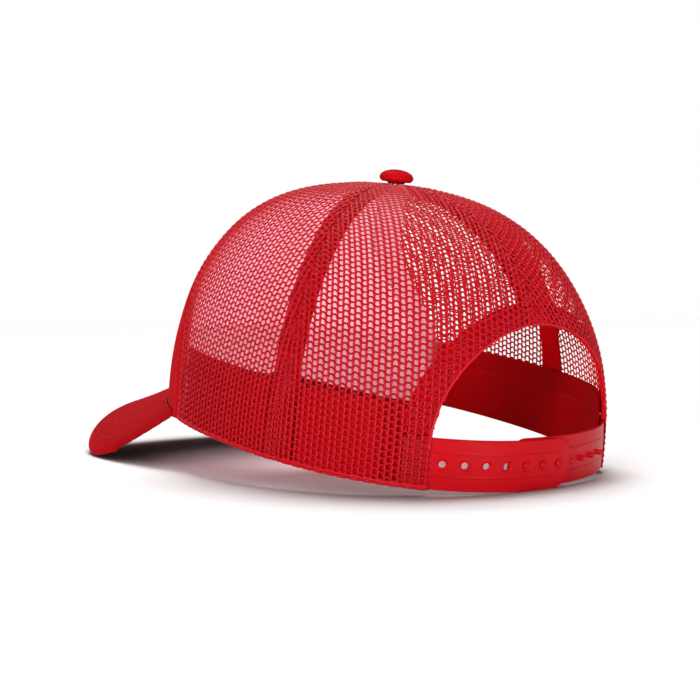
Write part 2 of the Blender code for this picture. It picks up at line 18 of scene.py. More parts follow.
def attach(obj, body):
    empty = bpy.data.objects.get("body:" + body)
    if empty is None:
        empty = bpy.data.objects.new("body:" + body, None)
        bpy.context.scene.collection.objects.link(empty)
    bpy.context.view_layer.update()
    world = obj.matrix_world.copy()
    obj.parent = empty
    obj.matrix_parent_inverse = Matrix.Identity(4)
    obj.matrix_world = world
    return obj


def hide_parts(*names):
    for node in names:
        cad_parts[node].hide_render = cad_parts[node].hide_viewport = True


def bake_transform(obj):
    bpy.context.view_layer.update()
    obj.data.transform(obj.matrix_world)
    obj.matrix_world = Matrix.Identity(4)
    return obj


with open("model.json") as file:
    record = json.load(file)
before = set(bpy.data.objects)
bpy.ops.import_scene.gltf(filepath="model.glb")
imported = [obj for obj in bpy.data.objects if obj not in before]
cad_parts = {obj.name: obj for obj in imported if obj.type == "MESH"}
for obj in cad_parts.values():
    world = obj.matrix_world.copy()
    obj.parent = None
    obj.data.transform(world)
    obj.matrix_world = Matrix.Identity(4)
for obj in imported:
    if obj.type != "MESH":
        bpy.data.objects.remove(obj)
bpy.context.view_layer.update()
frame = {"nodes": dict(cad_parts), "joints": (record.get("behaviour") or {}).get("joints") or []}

# ---------------------------------------------------------------- the crown, in metres
RIM_HALF_LENGTH = 0.1022
RIM_HALF_WIDTH = 0.0806
RIM_POWER = 2.27
CROWN_HEIGHT = 0.1067
CROWN_TOP_SHIFT = -0.0029
POWER_FRONT, POWER_SIDE, POWER_BACK = 2.61, 2.49, 2.24
REAR_SEAM = math.radians(74.9)
FRONT_SEAM_LOW = math.radians(112.5)
FRONT_SEAM_HIGH = math.radians(133.5)
FRONT_SEAM_BEND = (0.0, 0.5)
ARCH_HALF_WIDTH = 0.0490
ARCH_TOP = 0.0605
ARCH_SPRING = 0.0150
TOP_SHARE = 0.985               # panels run to this share of the dome, under the button

# depths of the crown's layers
NET_DEPTH = 0.00030             # middle of the net's threads
FOLD_DEPTH = 0.00082            # middle of the seam allowance, folded in behind the net
TAPE_DEPTH = 0.00125
TAPE_THICKNESS = 0.0005
FRONT_THICKNESS = 0.0009
BACKING_DEPTH = 0.00115
BACKING_THICKNESS = 0.0011
SWEATBAND_DEPTH = 0.0026
SWEATBAND_THICKNESS = 0.0022
SWEATBAND_HEIGHT = 0.0310
PALE_FRONT = (math.radians(110.0), math.radians(116.0))     # the band's inner face turns pale
FILLING_THICKNESS = 0.0006
BAND_MIDDLE = SWEATBAND_DEPTH + SWEATBAND_THICKNESS / 2
BAND_PLY = 0.0005
BAND_ROWS = (0.10, 0.70)        # heights of its stitch rows, as shares of the band's
BAND_OUTSET = 0.0015            # the outer ply lies this much further out where it meets the net
CLEAR_OF_STRAP = (0.070, 0.075)     # distances along the rim where the outset starts
CLEAR_OF_FRONT = (0.16, 0.10)       # and angles before the front seam where it ends
CLEAR_OF_TAPE = (0.0068, 0.0085)    # and distances from the side seam

# the net
WALE_PITCH = 0.00250
ROW_PITCH = 0.00250
WALE_WIDTH = 0.00098
WALE_THICKNESS = 0.00054
THREAD_WIDTH = 0.00086
THREAD_THICKNESS = 0.00056
HEM_ROWS = (0.0005, 0.0013)     # heights of the close threads along the foot
HEM_WIDTH = 0.00105
FOLD_WIDTH = 0.0052             # seam allowance that is folded in
SEAM_DIP = 0.00045              # how far the net is drawn in along a seam
SEAM_TAPE_WIDTH = 0.0130
BINDING_WIDTH = 0.0085
STITCH_OFFSET = 0.00435         # rows of stitches on both sides of a seam
WALE_SWAY = 0.00016
THREAD_LIFT = 0.00022           # how far a cross thread stands out over a wale

# the strap
STRAP_HEIGHT = 0.0192
STRAP_THICKNESS = 0.0012
STRAP_DEPTH = 0.0011
STRAP_LIFT = {"hole_strap": 0.0002, "peg_strap": 0.0008}
HINGE_MARGIN = 0.0023
TAB_LENGTH = 0.0130
PEG_PITCH = 0.0086
HOLE_COUNT = 7
FIRST_HOLE_MARGIN = 0.0019
END_MARGIN = 0.0070
PEG_ROOT_MARGIN = 0.0110        # bare strap between the last peg and the sewn root
BEND_REACH = 0.0016             # the bending takes this much on each side of the hinge
END_RADIUS = 0.0080
HOLE_RADIUS = 0.00128
RECESS_RADIUS = 0.00215
RECESS_DEPTH = 0.00042

# the visor
VISOR_AZIMUTH = math.radians(115.9)
VISOR_LENGTH = 0.0673
VISOR_HALF_WIDTH = 0.0760
VISOR_WIDEST = -0.0898
VISOR_POWER = 2.26
VISOR_ARCH_RADIUS = 0.0957
VISOR_SLOPE = 0.5623
VISOR_FLATTENING = 0.8064
VISOR_LIFT = 0.0017
VISOR_THICKNESS = 0.0027
VISOR_PLY = 0.00035
CORNER_REACH = 0.008            # the rolled edge grows to its full size over this length
BOARD_SPAN = 0.94               # the board's share of the visor's turn
BOARD_INSET = 0.0020
BOARD_HALF_THICKNESS = 0.00045
RIM_RAMP = math.radians(3.0)

BUTTON_RADIUS = 0.00725
BUTTON_HEIGHT = 0.0054
BUTTON_BASE = CROWN_HEIGHT + 0.0008


# ---------------------------------------------------------------- the crown's outer surface
def smooth(value, low, high):
    share = np.clip((np.asarray(value, float) - low) / (high - low), 0.0, 1.0)
    return share * share * (3.0 - 2.0 * share)


def signed_power(value, power):
    return np.sign(value) * np.abs(value) ** power


def rim_point(azimuth):
    x = RIM_HALF_WIDTH * signed_power(np.sin(azimuth), 2.0 / RIM_POWER)
    y = RIM_HALF_LENGTH * signed_power(np.cos(azimuth), 2.0 / RIM_POWER)
    return x, y


def dome_power(azimuth):
    back = np.maximum(np.cos(azimuth), 0.0) ** 2
    front = np.maximum(-np.cos(azimuth), 0.0) ** 2
    return POWER_SIDE + (POWER_BACK - POWER_SIDE) * back + (POWER_FRONT - POWER_SIDE) * front


def dome_point(azimuth, share):
    azimuth, share = np.broadcast_arrays(np.asarray(azimuth, float), np.asarray(share, float))
    x, y = rim_point(azimuth)
    power = dome_power(azimuth)
    angle = np.clip(share, 0.0, 1.0) * math.pi / 2
    spread = np.maximum(np.cos(angle), 1e-6) ** (2.0 / power)
    height = np.sin(angle) ** (2.0 / power)
    y = CROWN_TOP_SHIFT + (y - CROWN_TOP_SHIFT) * spread
    z = CROWN_HEIGHT * np.where(share < 0.0, share, height)
    return np.stack([x * spread, y, z], -1)


def dome_normal(azimuth, share):
    step = 0.004
    share = np.minimum(share, 1.0 - 2 * step)
    around = dome_point(azimuth + step, share) - dome_point(azimuth - step, share)
    upward = dome_point(azimuth, share + step) - dome_point(azimuth, share - step)
    normal = np.cross(upward, around)
    return normal / np.maximum(np.linalg.norm(normal, axis=-1, keepdims=True), 1e-12)


def layer_point(azimuth, share, depth):
    azimuth, share = np.asarray(azimuth, float), np.asarray(share, float)
    depth = np.asarray(depth, float)[..., None]
    return dome_point(azimuth, share) - dome_normal(azimuth, share) * depth


def share_at_height(azimuth, height):
    ratio = np.minimum(np.asarray(height, float) / CROWN_HEIGHT, 1.0)
    curved = np.arcsin(np.maximum(ratio, 0.0) ** (dome_power(azimuth) / 2.0)) * 2.0 / math.pi
    return np.where(ratio < 0.0, ratio, curved)


def around_step(azimuth, share):
    """Length along the surface of one radian of azimuth."""
    step = 0.002
    share = np.minimum(share, 0.999)
    around = dome_point(azimuth + step, share) - dome_point(azimuth - step, share)
    return np.maximum(np.linalg.norm(around, axis=-1) / (2 * step), 1e-5)


def turn_for(azimuth, share, distance):
    """Change of azimuth that moves a place by a distance along the surface at one height."""
    azimuth, share, distance = np.broadcast_arrays(azimuth, share, distance)
    turn = np.sign(distance) * 0.02
    start = dome_point(azimuth, share)
    for _ in range(8):
        length = np.linalg.norm(dome_point(azimuth + turn, share) - start, axis=-1)
        turn = np.clip(turn * np.abs(distance) / np.maximum(length, 1e-7), -1.0, 1.0)
    return turn


def front_seam(share):
    swing = smooth(share, *FRONT_SEAM_BEND)
    return FRONT_SEAM_LOW + (FRONT_SEAM_HIGH - FRONT_SEAM_LOW) * swing


def visor_height(x, y):
    corner_x, corner_y = rim_point(VISOR_AZIMUTH)
    forward = corner_y - y

    def fall(across):
        return VISOR_ARCH_RADIUS - np.sqrt(np.maximum(VISOR_ARCH_RADIUS ** 2 - across ** 2, 0.0))
    down = fall(x) + VISOR_SLOPE * forward - VISOR_FLATTENING * forward ** 2
    return fall(corner_x) - down + VISOR_LIFT


def visor_steepness(x, y):
    forward = rim_point(VISOR_AZIMUTH)[1] - y
    sideways = x / np.sqrt(np.maximum(VISOR_ARCH_RADIUS ** 2 - x * x, 1e-9))
    return np.sqrt(1.0 + sideways ** 2 + (VISOR_SLOPE - 2 * VISOR_FLATTENING * forward) ** 2)


def rim_height(azimuth):
    """Lower edge of the crown, level with the visor's underside at the front."""
    x, y = rim_point(azimuth)
    underside = visor_height(x, y) - VISOR_THICKNESS / 2 * visor_steepness(x, y)
    turned = np.abs(np.asarray(azimuth, float))
    from_front = np.where(turned <= math.pi, turned, math.tau - turned)
    return underside * smooth(from_front, VISOR_AZIMUTH - RIM_RAMP, VISOR_AZIMUTH)


RIM_TABLE = np.linspace(0.0, math.pi, 1441)
RIM_LINE = np.stack(rim_point(RIM_TABLE), -1)
RIM_ARCS = np.concatenate([[0.0], np.cumsum(np.linalg.norm(np.diff(RIM_LINE, axis=0), axis=1))])


def rim_azimuth(arc):
    """Azimuth at a distance along the rim from the back centre."""
    return np.sign(arc) * np.interp(np.abs(arc), RIM_ARCS, RIM_TABLE)


def rim_arc(azimuth):
    return np.sign(azimuth) * np.interp(np.abs(azimuth), RIM_TABLE, RIM_ARCS)


def azimuth_at(x, height):
    """Azimuth of the surface point at the back that has this x and height."""
    x, height = np.broadcast_arrays(np.asarray(x, float), np.asarray(height, float))
    low, high = np.zeros(x.shape), np.full(x.shape, math.pi / 2)
    for _ in range(40):
        middle = (low + high) / 2
        inside = dome_point(middle, share_at_height(middle, height))[..., 0] < np.abs(x)
        low, high = np.where(inside, middle, low), np.where(inside, high, middle)
    return np.sign(x) * low


HINGE_ARC = float(rim_arc(azimuth_at(ARCH_HALF_WIDTH, 0.0))) - HINGE_MARGIN


# ---------------------------------------------------------------- how the cap lies on the table
def rest_transform():
    """The cap's own frame in the world, from the axis and place of the hole strap's hinge."""
    joint = next(j for j in frame["joints"] if j["name"] == "hole_strap_swing")
    up = -np.array(joint["axis"], float)
    turn = Matrix.Rotation(-math.asin(up[1]), 3, "X")
    azimuth = rim_azimuth(HINGE_ARC)
    middle = STRAP_LIFT["hole_strap"] + STRAP_HEIGHT / 2
    hinge = layer_point(azimuth, share_at_height(azimuth, middle), STRAP_DEPTH)
    place = Vector(joint["pos_m"]) - turn @ Vector(hinge)
    return Matrix.Translation(place) @ turn.to_4x4()


REST = rest_transform()
REST_TURN = np.array(REST.to_3x3())
REST_PLACE = np.array(REST.translation)


def to_world(points):
    return np.asarray(points, float) @ REST_TURN.T + REST_PLACE


# ---------------------------------------------------------------- mesh helpers
def piece(name, points, faces, material, attributes=None):
    """A mesh from points in the cap's frame, with values for its points by attribute name."""
    mesh = bpy.data.meshes.new(name)
    points = to_world(points)
    mesh.vertices.add(len(points))
    mesh.vertices.foreach_set("co", points.astype(np.float32).ravel())
    corners = np.concatenate([np.asarray(f, np.int32).ravel() for f in faces])
    sizes = np.concatenate([np.full(len(f), np.asarray(f).shape[1], np.int32) for f in faces])
    mesh.loops.add(len(corners))
    mesh.loops.foreach_set("vertex_index", corners)
    mesh.polygons.add(len(sizes))
    starts = np.concatenate([[0], np.cumsum(sizes)[:-1]]).astype(np.int32)
    mesh.polygons.foreach_set("loop_start", starts)
    mesh.update(calc_edges=True)
    for key, values in (attributes or {}).items():
        layer = mesh.attributes.new(key, "FLOAT", "POINT")
        layer.data.foreach_set("value", np.asarray(values, np.float32))
    mesh.shade_smooth()
    mesh.materials.append(material)
    made = bpy.data.objects.new(name, mesh)
    bpy.context.scene.collection.objects.link(made)
    return made


def grid_faces(rows, columns, closed=False, start=0):
    """Quads of a grid of points, row by row; closed joins the last column to the first."""
    r = np.arange(rows - 1)[:, None]
    c = np.arange(columns if closed else columns - 1)[None, :]
    right = (c + 1) % columns
    quads = np.stack(np.broadcast_arrays(r * columns + c, r * columns + right,
                                         (r + 1) * columns + right, (r + 1) * columns + c), -1)
    return quads.reshape(-1, 4) + start


def tubes(lines, normals, widths, thicknesses, sides=5):
    """Closed tubes along lines; normals say which way is outwards along each line.

    Gives points, quads and caps. Width is across the line in the surface, thickness along the
    normal. Widths and thicknesses hold a value for each line, or for each point of it.
    """
    points, quads, caps, starts = [], [], [], 0
    turn = np.arange(sides) / sides * math.tau
    for line, normal, width, thickness in zip(lines, normals, widths, thicknesses):
        ahead = np.gradient(line, axis=0)
        ahead /= np.maximum(np.linalg.norm(ahead, axis=1, keepdims=True), 1e-12)
        across = np.cross(normal, ahead)
        across /= np.maximum(np.linalg.norm(across, axis=1, keepdims=True), 1e-12)
        outward = np.cross(ahead, across)
        wide = np.broadcast_to(np.asarray(width, float), len(line))[:, None, None] / 2
        thick = np.broadcast_to(np.asarray(thickness, float), len(line))[:, None, None] / 2
        ring = (line[:, None, :] + across[:, None, :] * wide * np.cos(turn)[None, :, None]
                + outward[:, None, :] * thick * np.sin(turn)[None, :, None])
        count = len(line)
        points.append(ring.reshape(-1, 3))
        quads.append(grid_faces(count, sides, True, starts)[:, ::-1])
        first = np.arange(sides) + starts
        caps.append(first[None, :])
        caps.append((first + (count - 1) * sides)[None, ::-1])
        starts += count * sides
    return np.concatenate(points), np.concatenate(quads), np.concatenate(caps)


def solid_sheet(outer, inner, closed=False):
    """Points and faces of a closed sheet from its outer and inner grids of points."""
    rows, columns = outer.shape[:2]
    points = np.concatenate([outer.reshape(-1, 3), inner.reshape(-1, 3)])
    offset = rows * columns
    faces = [grid_faces(rows, columns, closed), grid_faces(rows, columns, closed, offset)[:, ::-1]]

    def wall(edge):
        return np.stack([edge[:-1], edge[1:], edge[1:] + offset, edge[:-1] + offset], -1)
    index = np.arange(offset).reshape(rows, columns)
    loop = np.append(index[0], index[0, 0]) if closed else index[0]
    faces.append(wall(loop)[:, ::-1])
    loop = np.append(index[-1], index[-1, 0]) if closed else index[-1]
    faces.append(wall(loop))
    if not closed:
        faces.append(wall(index[:, 0]))
        faces.append(wall(index[:, -1])[:, ::-1])
    return points, faces


def outward(made):
    """Faces of a closed mesh turned out."""
    bm = bmesh.new()
    bm.from_mesh(made.data)
    bmesh.ops.recalc_face_normals(bm, faces=bm.faces)
    bm.to_mesh(made.data)
    bm.free()
    made.data.shade_smooth()
    return made


def sharp(made, degrees):
    made.data.set_sharp_from_angle(angle=math.radians(degrees))
    return made


def noise(seed, *phases):
    """Sum of a few fixed waves of the given coordinates, about -1 to 1."""
    draw = random.Random(seed)
    total = 0.0
    for _ in range(5):
        wave = sum(p * draw.uniform(-1.0, 1.0) for p in phases)
        total = total + np.sin(wave + draw.uniform(0, math.tau)) / 5.0
    return total * 1.6


# ---------------------------------------------------------------- materials
def linear(red, green, blue):
    """Linear colour of a display colour given as 0 to 255."""
    def channel(value):
        value /= 255.0
        return value / 12.92 if value <= 0.04045 else ((value + 0.055) / 1.055) ** 2.4
    return (channel(red), channel(green), channel(blue), 1.0)


class Finish:
    """A Principled material with short calls for the nodes that vary its colour and relief."""

    def __init__(self, name, roughness, specular, **inputs):
        self.material = bpy.data.materials.new(name)
        self.material.use_nodes = True
        self.tree = self.material.node_tree
        self.shader = self.tree.nodes["Principled BSDF"]
        self.shader.inputs["Roughness"].default_value = roughness
        self.shader.inputs["Specular IOR Level"].default_value = specular
        for key, value in inputs.items():
            self.shader.inputs[key.replace("_", " ")].default_value = value

    def node(self, kind, **settings):
        made = self.tree.nodes.new(kind)
        for key, value in settings.items():
            setattr(made, key, value)
        return made

    def link(self, source, target):
        self.tree.links.new(source, target)

    def value(self, socket, source):
        if isinstance(source, (int, float)):
            socket.default_value = source
        else:
            self.link(source, socket)

    def math(self, operation, first, second=0.0):
        made = self.node("ShaderNodeMath", operation=operation)
        self.value(made.inputs[0], first)
        self.value(made.inputs[1], second)
        return made.outputs[0]

    def attribute(self, name):
        return self.node("ShaderNodeAttribute", attribute_name=name).outputs["Fac"]

    def noise(self, scale, detail=3.0, stretch=(1, 1, 1)):
        place = self.node("ShaderNodeTexCoord").outputs["Object"]
        mapping = self.node("ShaderNodeMapping")
        mapping.inputs["Scale"].default_value = stretch
        self.link(place, mapping.inputs["Vector"])
        made = self.node("ShaderNodeTexNoise")
        made.inputs["Scale"].default_value = scale
        made.inputs["Detail"].default_value = detail
        self.link(mapping.outputs[0], made.inputs["Vector"])
        return made.outputs["Fac"]

    def waves(self, pitch, source):
        """1 to -1 and back over each pitch of a length in metres."""
        return self.math("SINE", self.math("MULTIPLY", source, math.tau / pitch))

    def colours(self, factor, *stops):
        ramp = self.node("ShaderNodeValToRGB")
        self.link(factor, ramp.inputs[0])
        while len(ramp.color_ramp.elements) < len(stops):
            ramp.color_ramp.elements.new(0.5)
        for element, (place, colour) in zip(ramp.color_ramp.elements, stops):
            element.position = place
            element.color = colour
        return ramp.outputs[0]

    def mix(self, factor, first, second, blend="MIX"):
        made = self.node("ShaderNodeMix", data_type="RGBA", blend_type=blend)
        self.value(made.inputs["Factor"], factor)
        for socket, source in ((made.inputs["A"], first), (made.inputs["B"], second)):
            if isinstance(source, tuple):
                socket.default_value = source
            else:
                self.link(source, socket)
        return made.outputs["Result"]

    def paint(self, colour):
        self.link(colour, self.shader.inputs["Base Color"])

    def roughness(self, source, low, high):
        spread = self.node("ShaderNodeMapRange")
        self.link(source, spread.inputs[0])
        spread.inputs["To Min"].default_value = low
        spread.inputs["To Max"].default_value = high
        self.link(spread.outputs[0], self.shader.inputs["Roughness"])

    def bump(self, height, depth, strength=1.0):
        made = self.node("ShaderNodeBump")
        made.inputs["Distance"].default_value = depth
        made.inputs["Strength"].default_value = strength
        self.link(height, made.inputs["Height"])
        self.link(made.outputs[0], self.shader.inputs["Normal"])


def shade(colour, factor):
    return tuple(c * factor for c in colour[:3]) + (1.0,)


RED = linear(200, 4, 20)
BAND_RED = linear(222, 3, 16)
STRAP_RED = linear(178, 2, 16)
VISOR_RED = linear(190, 1, 14)
INNER_RED = linear(172, 1, 6)
# pale, as the white backing is, with a pink tint that is painted red bounce light
LINING = linear(236, 176, 190)


def net_finish():
    """Knitted polyester: broad wales that let light through, finer cross threads with painted
    shade, a darker copy of the red.
    """
    f = Finish("net_thread", 0.45, 0.12, Sheen_Weight=0.05, Sheen_Roughness=0.4)
    f.shader.inputs["Sheen Tint"].default_value = (1.0, 0.35, 0.4, 1.0)
    fibre = f.noise(2600.0, 2.0, (1.0, 1.0, 0.35))
    wale = f.colours(fibre, (0.3, shade(RED, 1.0)), (0.75, linear(212, 26, 44)))
    # painted shade: the cross threads' colour is the net's red darkened, for their shadowed
    # undersides
    thread = f.colours(fibre, (0.3, shade(RED, 0.5)), (0.75, shade(RED, 0.8)))
    f.paint(f.mix(f.attribute("thread"), wale, thread))
    f.bump(fibre, 0.00012, 0.6)
    return f.material


def cloth_finish(name, colour, pitch, twill=True, sheen=0.03, depth=0.00010, roughness=0.8,
                 over=()):
    """Woven cloth; u and v are lengths along the cloth's two directions.

    Over holds (attribute, colour) pairs: where the attribute is 1, that colour takes over.
    """
    f = Finish(name, roughness, 0.05, Sheen_Weight=sheen, Sheen_Roughness=0.45)
    f.shader.inputs["Sheen Tint"].default_value = shade(colour, 1.6)
    u, v = f.attribute("u"), f.attribute("v")
    if twill:
        ribs = f.waves(pitch, f.math("ADD", u, v))
        yarns = f.waves(pitch * 0.8, f.math("SUBTRACT", u, f.math("MULTIPLY", v, 0.45)))
        weave = f.math("ADD", ribs, f.math("MULTIPLY", yarns, 0.4))
    else:
        weave = f.math("MULTIPLY", f.waves(pitch, u), f.waves(pitch, v))
    patches = f.noise(60.0, 4.0)
    fibre = f.noise(1800.0, 2.0)
    base = f.colours(patches, (0.3, shade(colour, 0.93)), (0.7, shade(colour, 1.05)))
    for mark, other in over:
        base = f.mix(f.attribute(mark), base, other)
    # painted shade: the weave's low places are darkened toward a shaded copy of the cloth's colour
    lit = f.math("ADD", f.math("MULTIPLY", weave, 0.32), 0.5)
    f.paint(f.mix(f.colours(lit, (0.0, (0.16, 0.16, 0.16, 1.0)), (1.0, (0.0, 0.0, 0.0, 1.0))),
                  base, shade(colour, 0.55)))
    f.bump(f.math("ADD", weave, f.math("MULTIPLY", fibre, 0.8)), depth, 0.8)
    return f.material


def lining_finish():
    """Smooth fused backing behind the front panel: pale, with pink painted in as red bounce light.
    """
    f = Finish("front_lining", 0.42, 0.25)
    patches = f.noise(45.0, 5.0)
    f.paint(f.colours(patches, (0.3, shade(LINING, 0.86)), (0.7, LINING)))
    f.roughness(patches, 0.34, 0.55)
    f.bump(f.math("ADD", f.noise(900.0, 2.0), f.math("MULTIPLY", patches, 2.0)), 0.0002, 0.5)
    return f.material


def plastic_finish():
    """Semi-gloss moulded strap: very fine texture and faint flow marks."""
    f = Finish("strap_plastic", 0.40, 0.10, Subsurface_Weight=0.05, Subsurface_Scale=0.002)
    flow = f.noise(90.0, 5.0, (1.0, 1.0, 2.5))
    grain = f.noise(3500.0, 2.0)
    f.paint(f.colours(flow, (0.3, shade(STRAP_RED, 0.95)), (0.7, shade(STRAP_RED, 1.06))))
    f.roughness(flow, 0.30, 0.44)
    f.bump(grain, 0.00004, 0.5)
    return f.material


def stitch_finish():
    f = Finish("sewing_thread", 0.5, 0.12)
    twist = f.noise(4000.0, 1.0)
    f.paint(f.colours(twist, (0.3, shade(RED, 0.75)), (0.8, linear(218, 34, 50))))
    f.bump(twist, 0.00005, 0.6)
    return f.material


def steel_finish():
    f = Finish("button_steel", 0.32, 0.5, Metallic=1.0)
    marks = f.noise(700.0, 4.0, (1.0, 1.0, 0.2))
    f.paint(f.colours(marks, (0.3, (0.52, 0.52, 0.54, 1.0)), (0.7, (0.66, 0.66, 0.68, 1.0))))
    f.roughness(marks, 0.25, 0.42)
    f.bump(marks, 0.00003, 0.4)
    return f.material


def board_finish():
    f = Finish("visor_board_plastic", 0.5, 0.4)
    mottle = f.noise(140.0, 4.0)
    f.paint(f.colours(mottle, (0.3, (0.70, 0.70, 0.66, 1.0)), (0.7, (0.78, 0.78, 0.75, 1.0))))
    f.bump(mottle, 0.00005, 0.4)
    return f.material


def floor_finish():
    f = Finish("pale_floor", 0.9, 0.0)
    drift = f.noise(1.5, 2.0)
    pale = f.colours(drift, (0.3, (0.905, 0.905, 0.905, 1.0)), (0.7, (0.92, 0.92, 0.92, 1.0)))
    # darker where things stand close by: part of the shadow is made here and not by the light
    open_sky = f.node("ShaderNodeAmbientOcclusion", samples=8)
    open_sky.inputs["Distance"].default_value = 0.09
    deep, full = (0.12, (0.0, 0.0, 0.0, 1.0)), (0.85, (1.0, 1.0, 1.0, 1.0))
    f.paint(f.mix(f.colours(open_sky.outputs["AO"], deep, full), (0.03, 0.03, 0.03, 1.0), pale))
    return f.material


NET = net_finish()
FRONT_CLOTH = cloth_finish("front_cloth", RED, 0.00055)
BUTTON_CLOTH = cloth_finish("button_cloth", linear(202, 4, 18), 0.0005)
VISOR_CLOTH = cloth_finish("visor_cloth", VISOR_RED, 0.00055, sheen=0.04, roughness=0.75)
TAPE_CLOTH = cloth_finish("seam_tape_cloth", BAND_RED, 0.0006, twill=False, depth=0.00014)
FRONT_TAPE_CLOTH = cloth_finish("front_seam_tape_cloth", BAND_RED, 0.0006, twill=False,
                                depth=0.00014, over=(("pale", LINING),))
# painted light: the sweatband is one cloth, but its outer ply takes the lighter BAND_RED and its
# inner face the darker INNER_RED
SWEATBAND_CLOTH = cloth_finish("sweatband_cloth", INNER_RED, 0.0006, sheen=0.02, depth=0.00012,
                               over=(("pale", LINING), ("outside", BAND_RED)))
FILLING = cloth_finish("interlining", linear(225, 222, 218), 0.0009, twill=False)
BACKING = lining_finish()
PLASTIC = plastic_finish()
THREAD = stitch_finish()
STEEL = steel_finish()
BOARD = board_finish()


def grid_lengths(grid):
    """Lengths from the first point of each row to each point, and the same up the columns."""
    along = np.linalg.norm(np.diff(grid, axis=1), axis=-1)
    upward = np.linalg.norm(np.diff(grid, axis=0), axis=-1)
    u = np.concatenate([np.zeros((len(grid), 1)), np.cumsum(along, axis=1)], axis=1)
    v = np.concatenate([np.zeros((1, grid.shape[1])), np.cumsum(upward, axis=0)], axis=0)
    return u - u[:, -1:] / 2, v


def cloth(name, outer, inner, material, replaces, marks=None):
    """A sheet of cloth from its outer and inner grids, with u and v lengths measured along its
    outer face.
    """
    points, faces = solid_sheet(outer, inner)
    u, v = grid_lengths(outer)
    twice = {}
    for key, grid in {"u": u, "v": v, **(marks or {})}.items():
        pair = grid if isinstance(grid, tuple) else (grid, grid)
        twice[key] = np.concatenate([side.ravel() for side in pair])
    made = outward(piece(name, points, faces, material, twice))
    sharp(made, 50.0)
    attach(made, "cap")
    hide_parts(*replaces)
    return made


# ---------------------------------------------------------------- the crown's soft shape
def settle(azimuth, share):
    """How far the crown's cloth has sunk in at a place: slight hollows between the seams."""
    azimuth, share = np.broadcast_arrays(np.asarray(azimuth, float), np.asarray(share, float))
    free = smooth(share, 0.22, 0.5) * (1.0 - smooth(share, 0.85, 0.97))
    waves = np.sin(azimuth * 5.0 + 4.0 * share + 0.6) * np.cos(azimuth * 3.0 - 5.0 * share)
    return 0.0007 * free * (0.5 + 0.5 * waves)


def crown_point(azimuth, share, depth):
    return layer_point(azimuth, share, np.asarray(depth, float) + settle(azimuth, share))


def front_seam_right(share):
    return -front_seam(share)


def front_seam_far(share):
    return math.tau - front_seam(share)


def straight(azimuth):
    def seam(share):
        return azimuth + 0.0 * np.asarray(share, float)
    return seam


SEAMS = {
    "front_left": front_seam,
    "front_right": front_seam_right,
    "rear_left": straight(REAR_SEAM),
    "rear_right": straight(-REAR_SEAM),
    "centre_back": straight(0.0),
}


def arch_distance(x, z):
    """How far a point at the back lies outside the arch's edge, and the way straight out."""
    x, z = np.asarray(x, float), np.asarray(z, float)
    rise = ARCH_TOP - ARCH_SPRING
    above = z > ARCH_SPRING
    px, pz = x / ARCH_HALF_WIDTH, np.where(above, z - ARCH_SPRING, 0.0) / rise
    radius = np.maximum(np.sqrt(px * px + pz * pz), 1e-6)
    gx, gz = px / ARCH_HALF_WIDTH / radius, pz / rise / radius
    slope = np.maximum(np.sqrt(gx * gx + gz * gz), 1e-6)
    return (radius - 1.0) / slope, gx / slope, gz / slope


# ---------------------------------------------------------------- net panels
class NetPlace:
    """Where the flat net's (u, v) lies on a panel that is centred on one azimuth."""
    SHARES = np.linspace(0.0, TOP_SHARE, 181)
    REACH = np.linspace(-1.45, 1.45, 241)

    def __init__(self, centre):
        line = dome_point(centre, self.SHARES)
        rise = np.linalg.norm(np.diff(line, axis=0), axis=1)
        self.lengths = np.concatenate([[0.0], np.cumsum(rise)])
        azimuths = centre + self.REACH
        rows = dome_point(azimuths[None, :], self.SHARES[:, None])
        steps = np.linalg.norm(np.diff(rows, axis=1), axis=-1)
        across = np.concatenate([np.zeros((len(rows), 1)), np.cumsum(steps, axis=1)], axis=1)
        across -= across[:, [len(azimuths) // 2]]
        self.span = float(np.abs(across).max())
        self.columns = np.linspace(-self.span, self.span, 401)
        self.table = np.stack([np.interp(self.columns, row, azimuths) for row in across])

    def __call__(self, u, v):
        share = np.interp(v, self.lengths, self.SHARES)
        row = share / TOP_SHARE * (len(self.SHARES) - 1)
        column = (u + self.span) / (2 * self.span) * (len(self.columns) - 1)
        r = np.clip(row.astype(int), 0, len(self.SHARES) - 2)
        c = np.clip(column.astype(int), 0, len(self.columns) - 2)
        a, b = row - r, np.clip(column - c, 0.0, 1.0)
        t = self.table
        low = t[r, c] * (1 - b) + t[r, c + 1] * b
        high = t[r + 1, c] * (1 - b) + t[r + 1, c + 1] * b
        return low * (1 - a) + high * a, share


def drawn_in(distance):
    """Depth added where the net is folded in at an edge; distance is positive past the edge."""
    fold = (FOLD_DEPTH - NET_DEPTH) * smooth(distance, -0.0004, 0.0007)
    return fold + SEAM_DIP * np.exp(-(distance / 0.0011) ** 2)


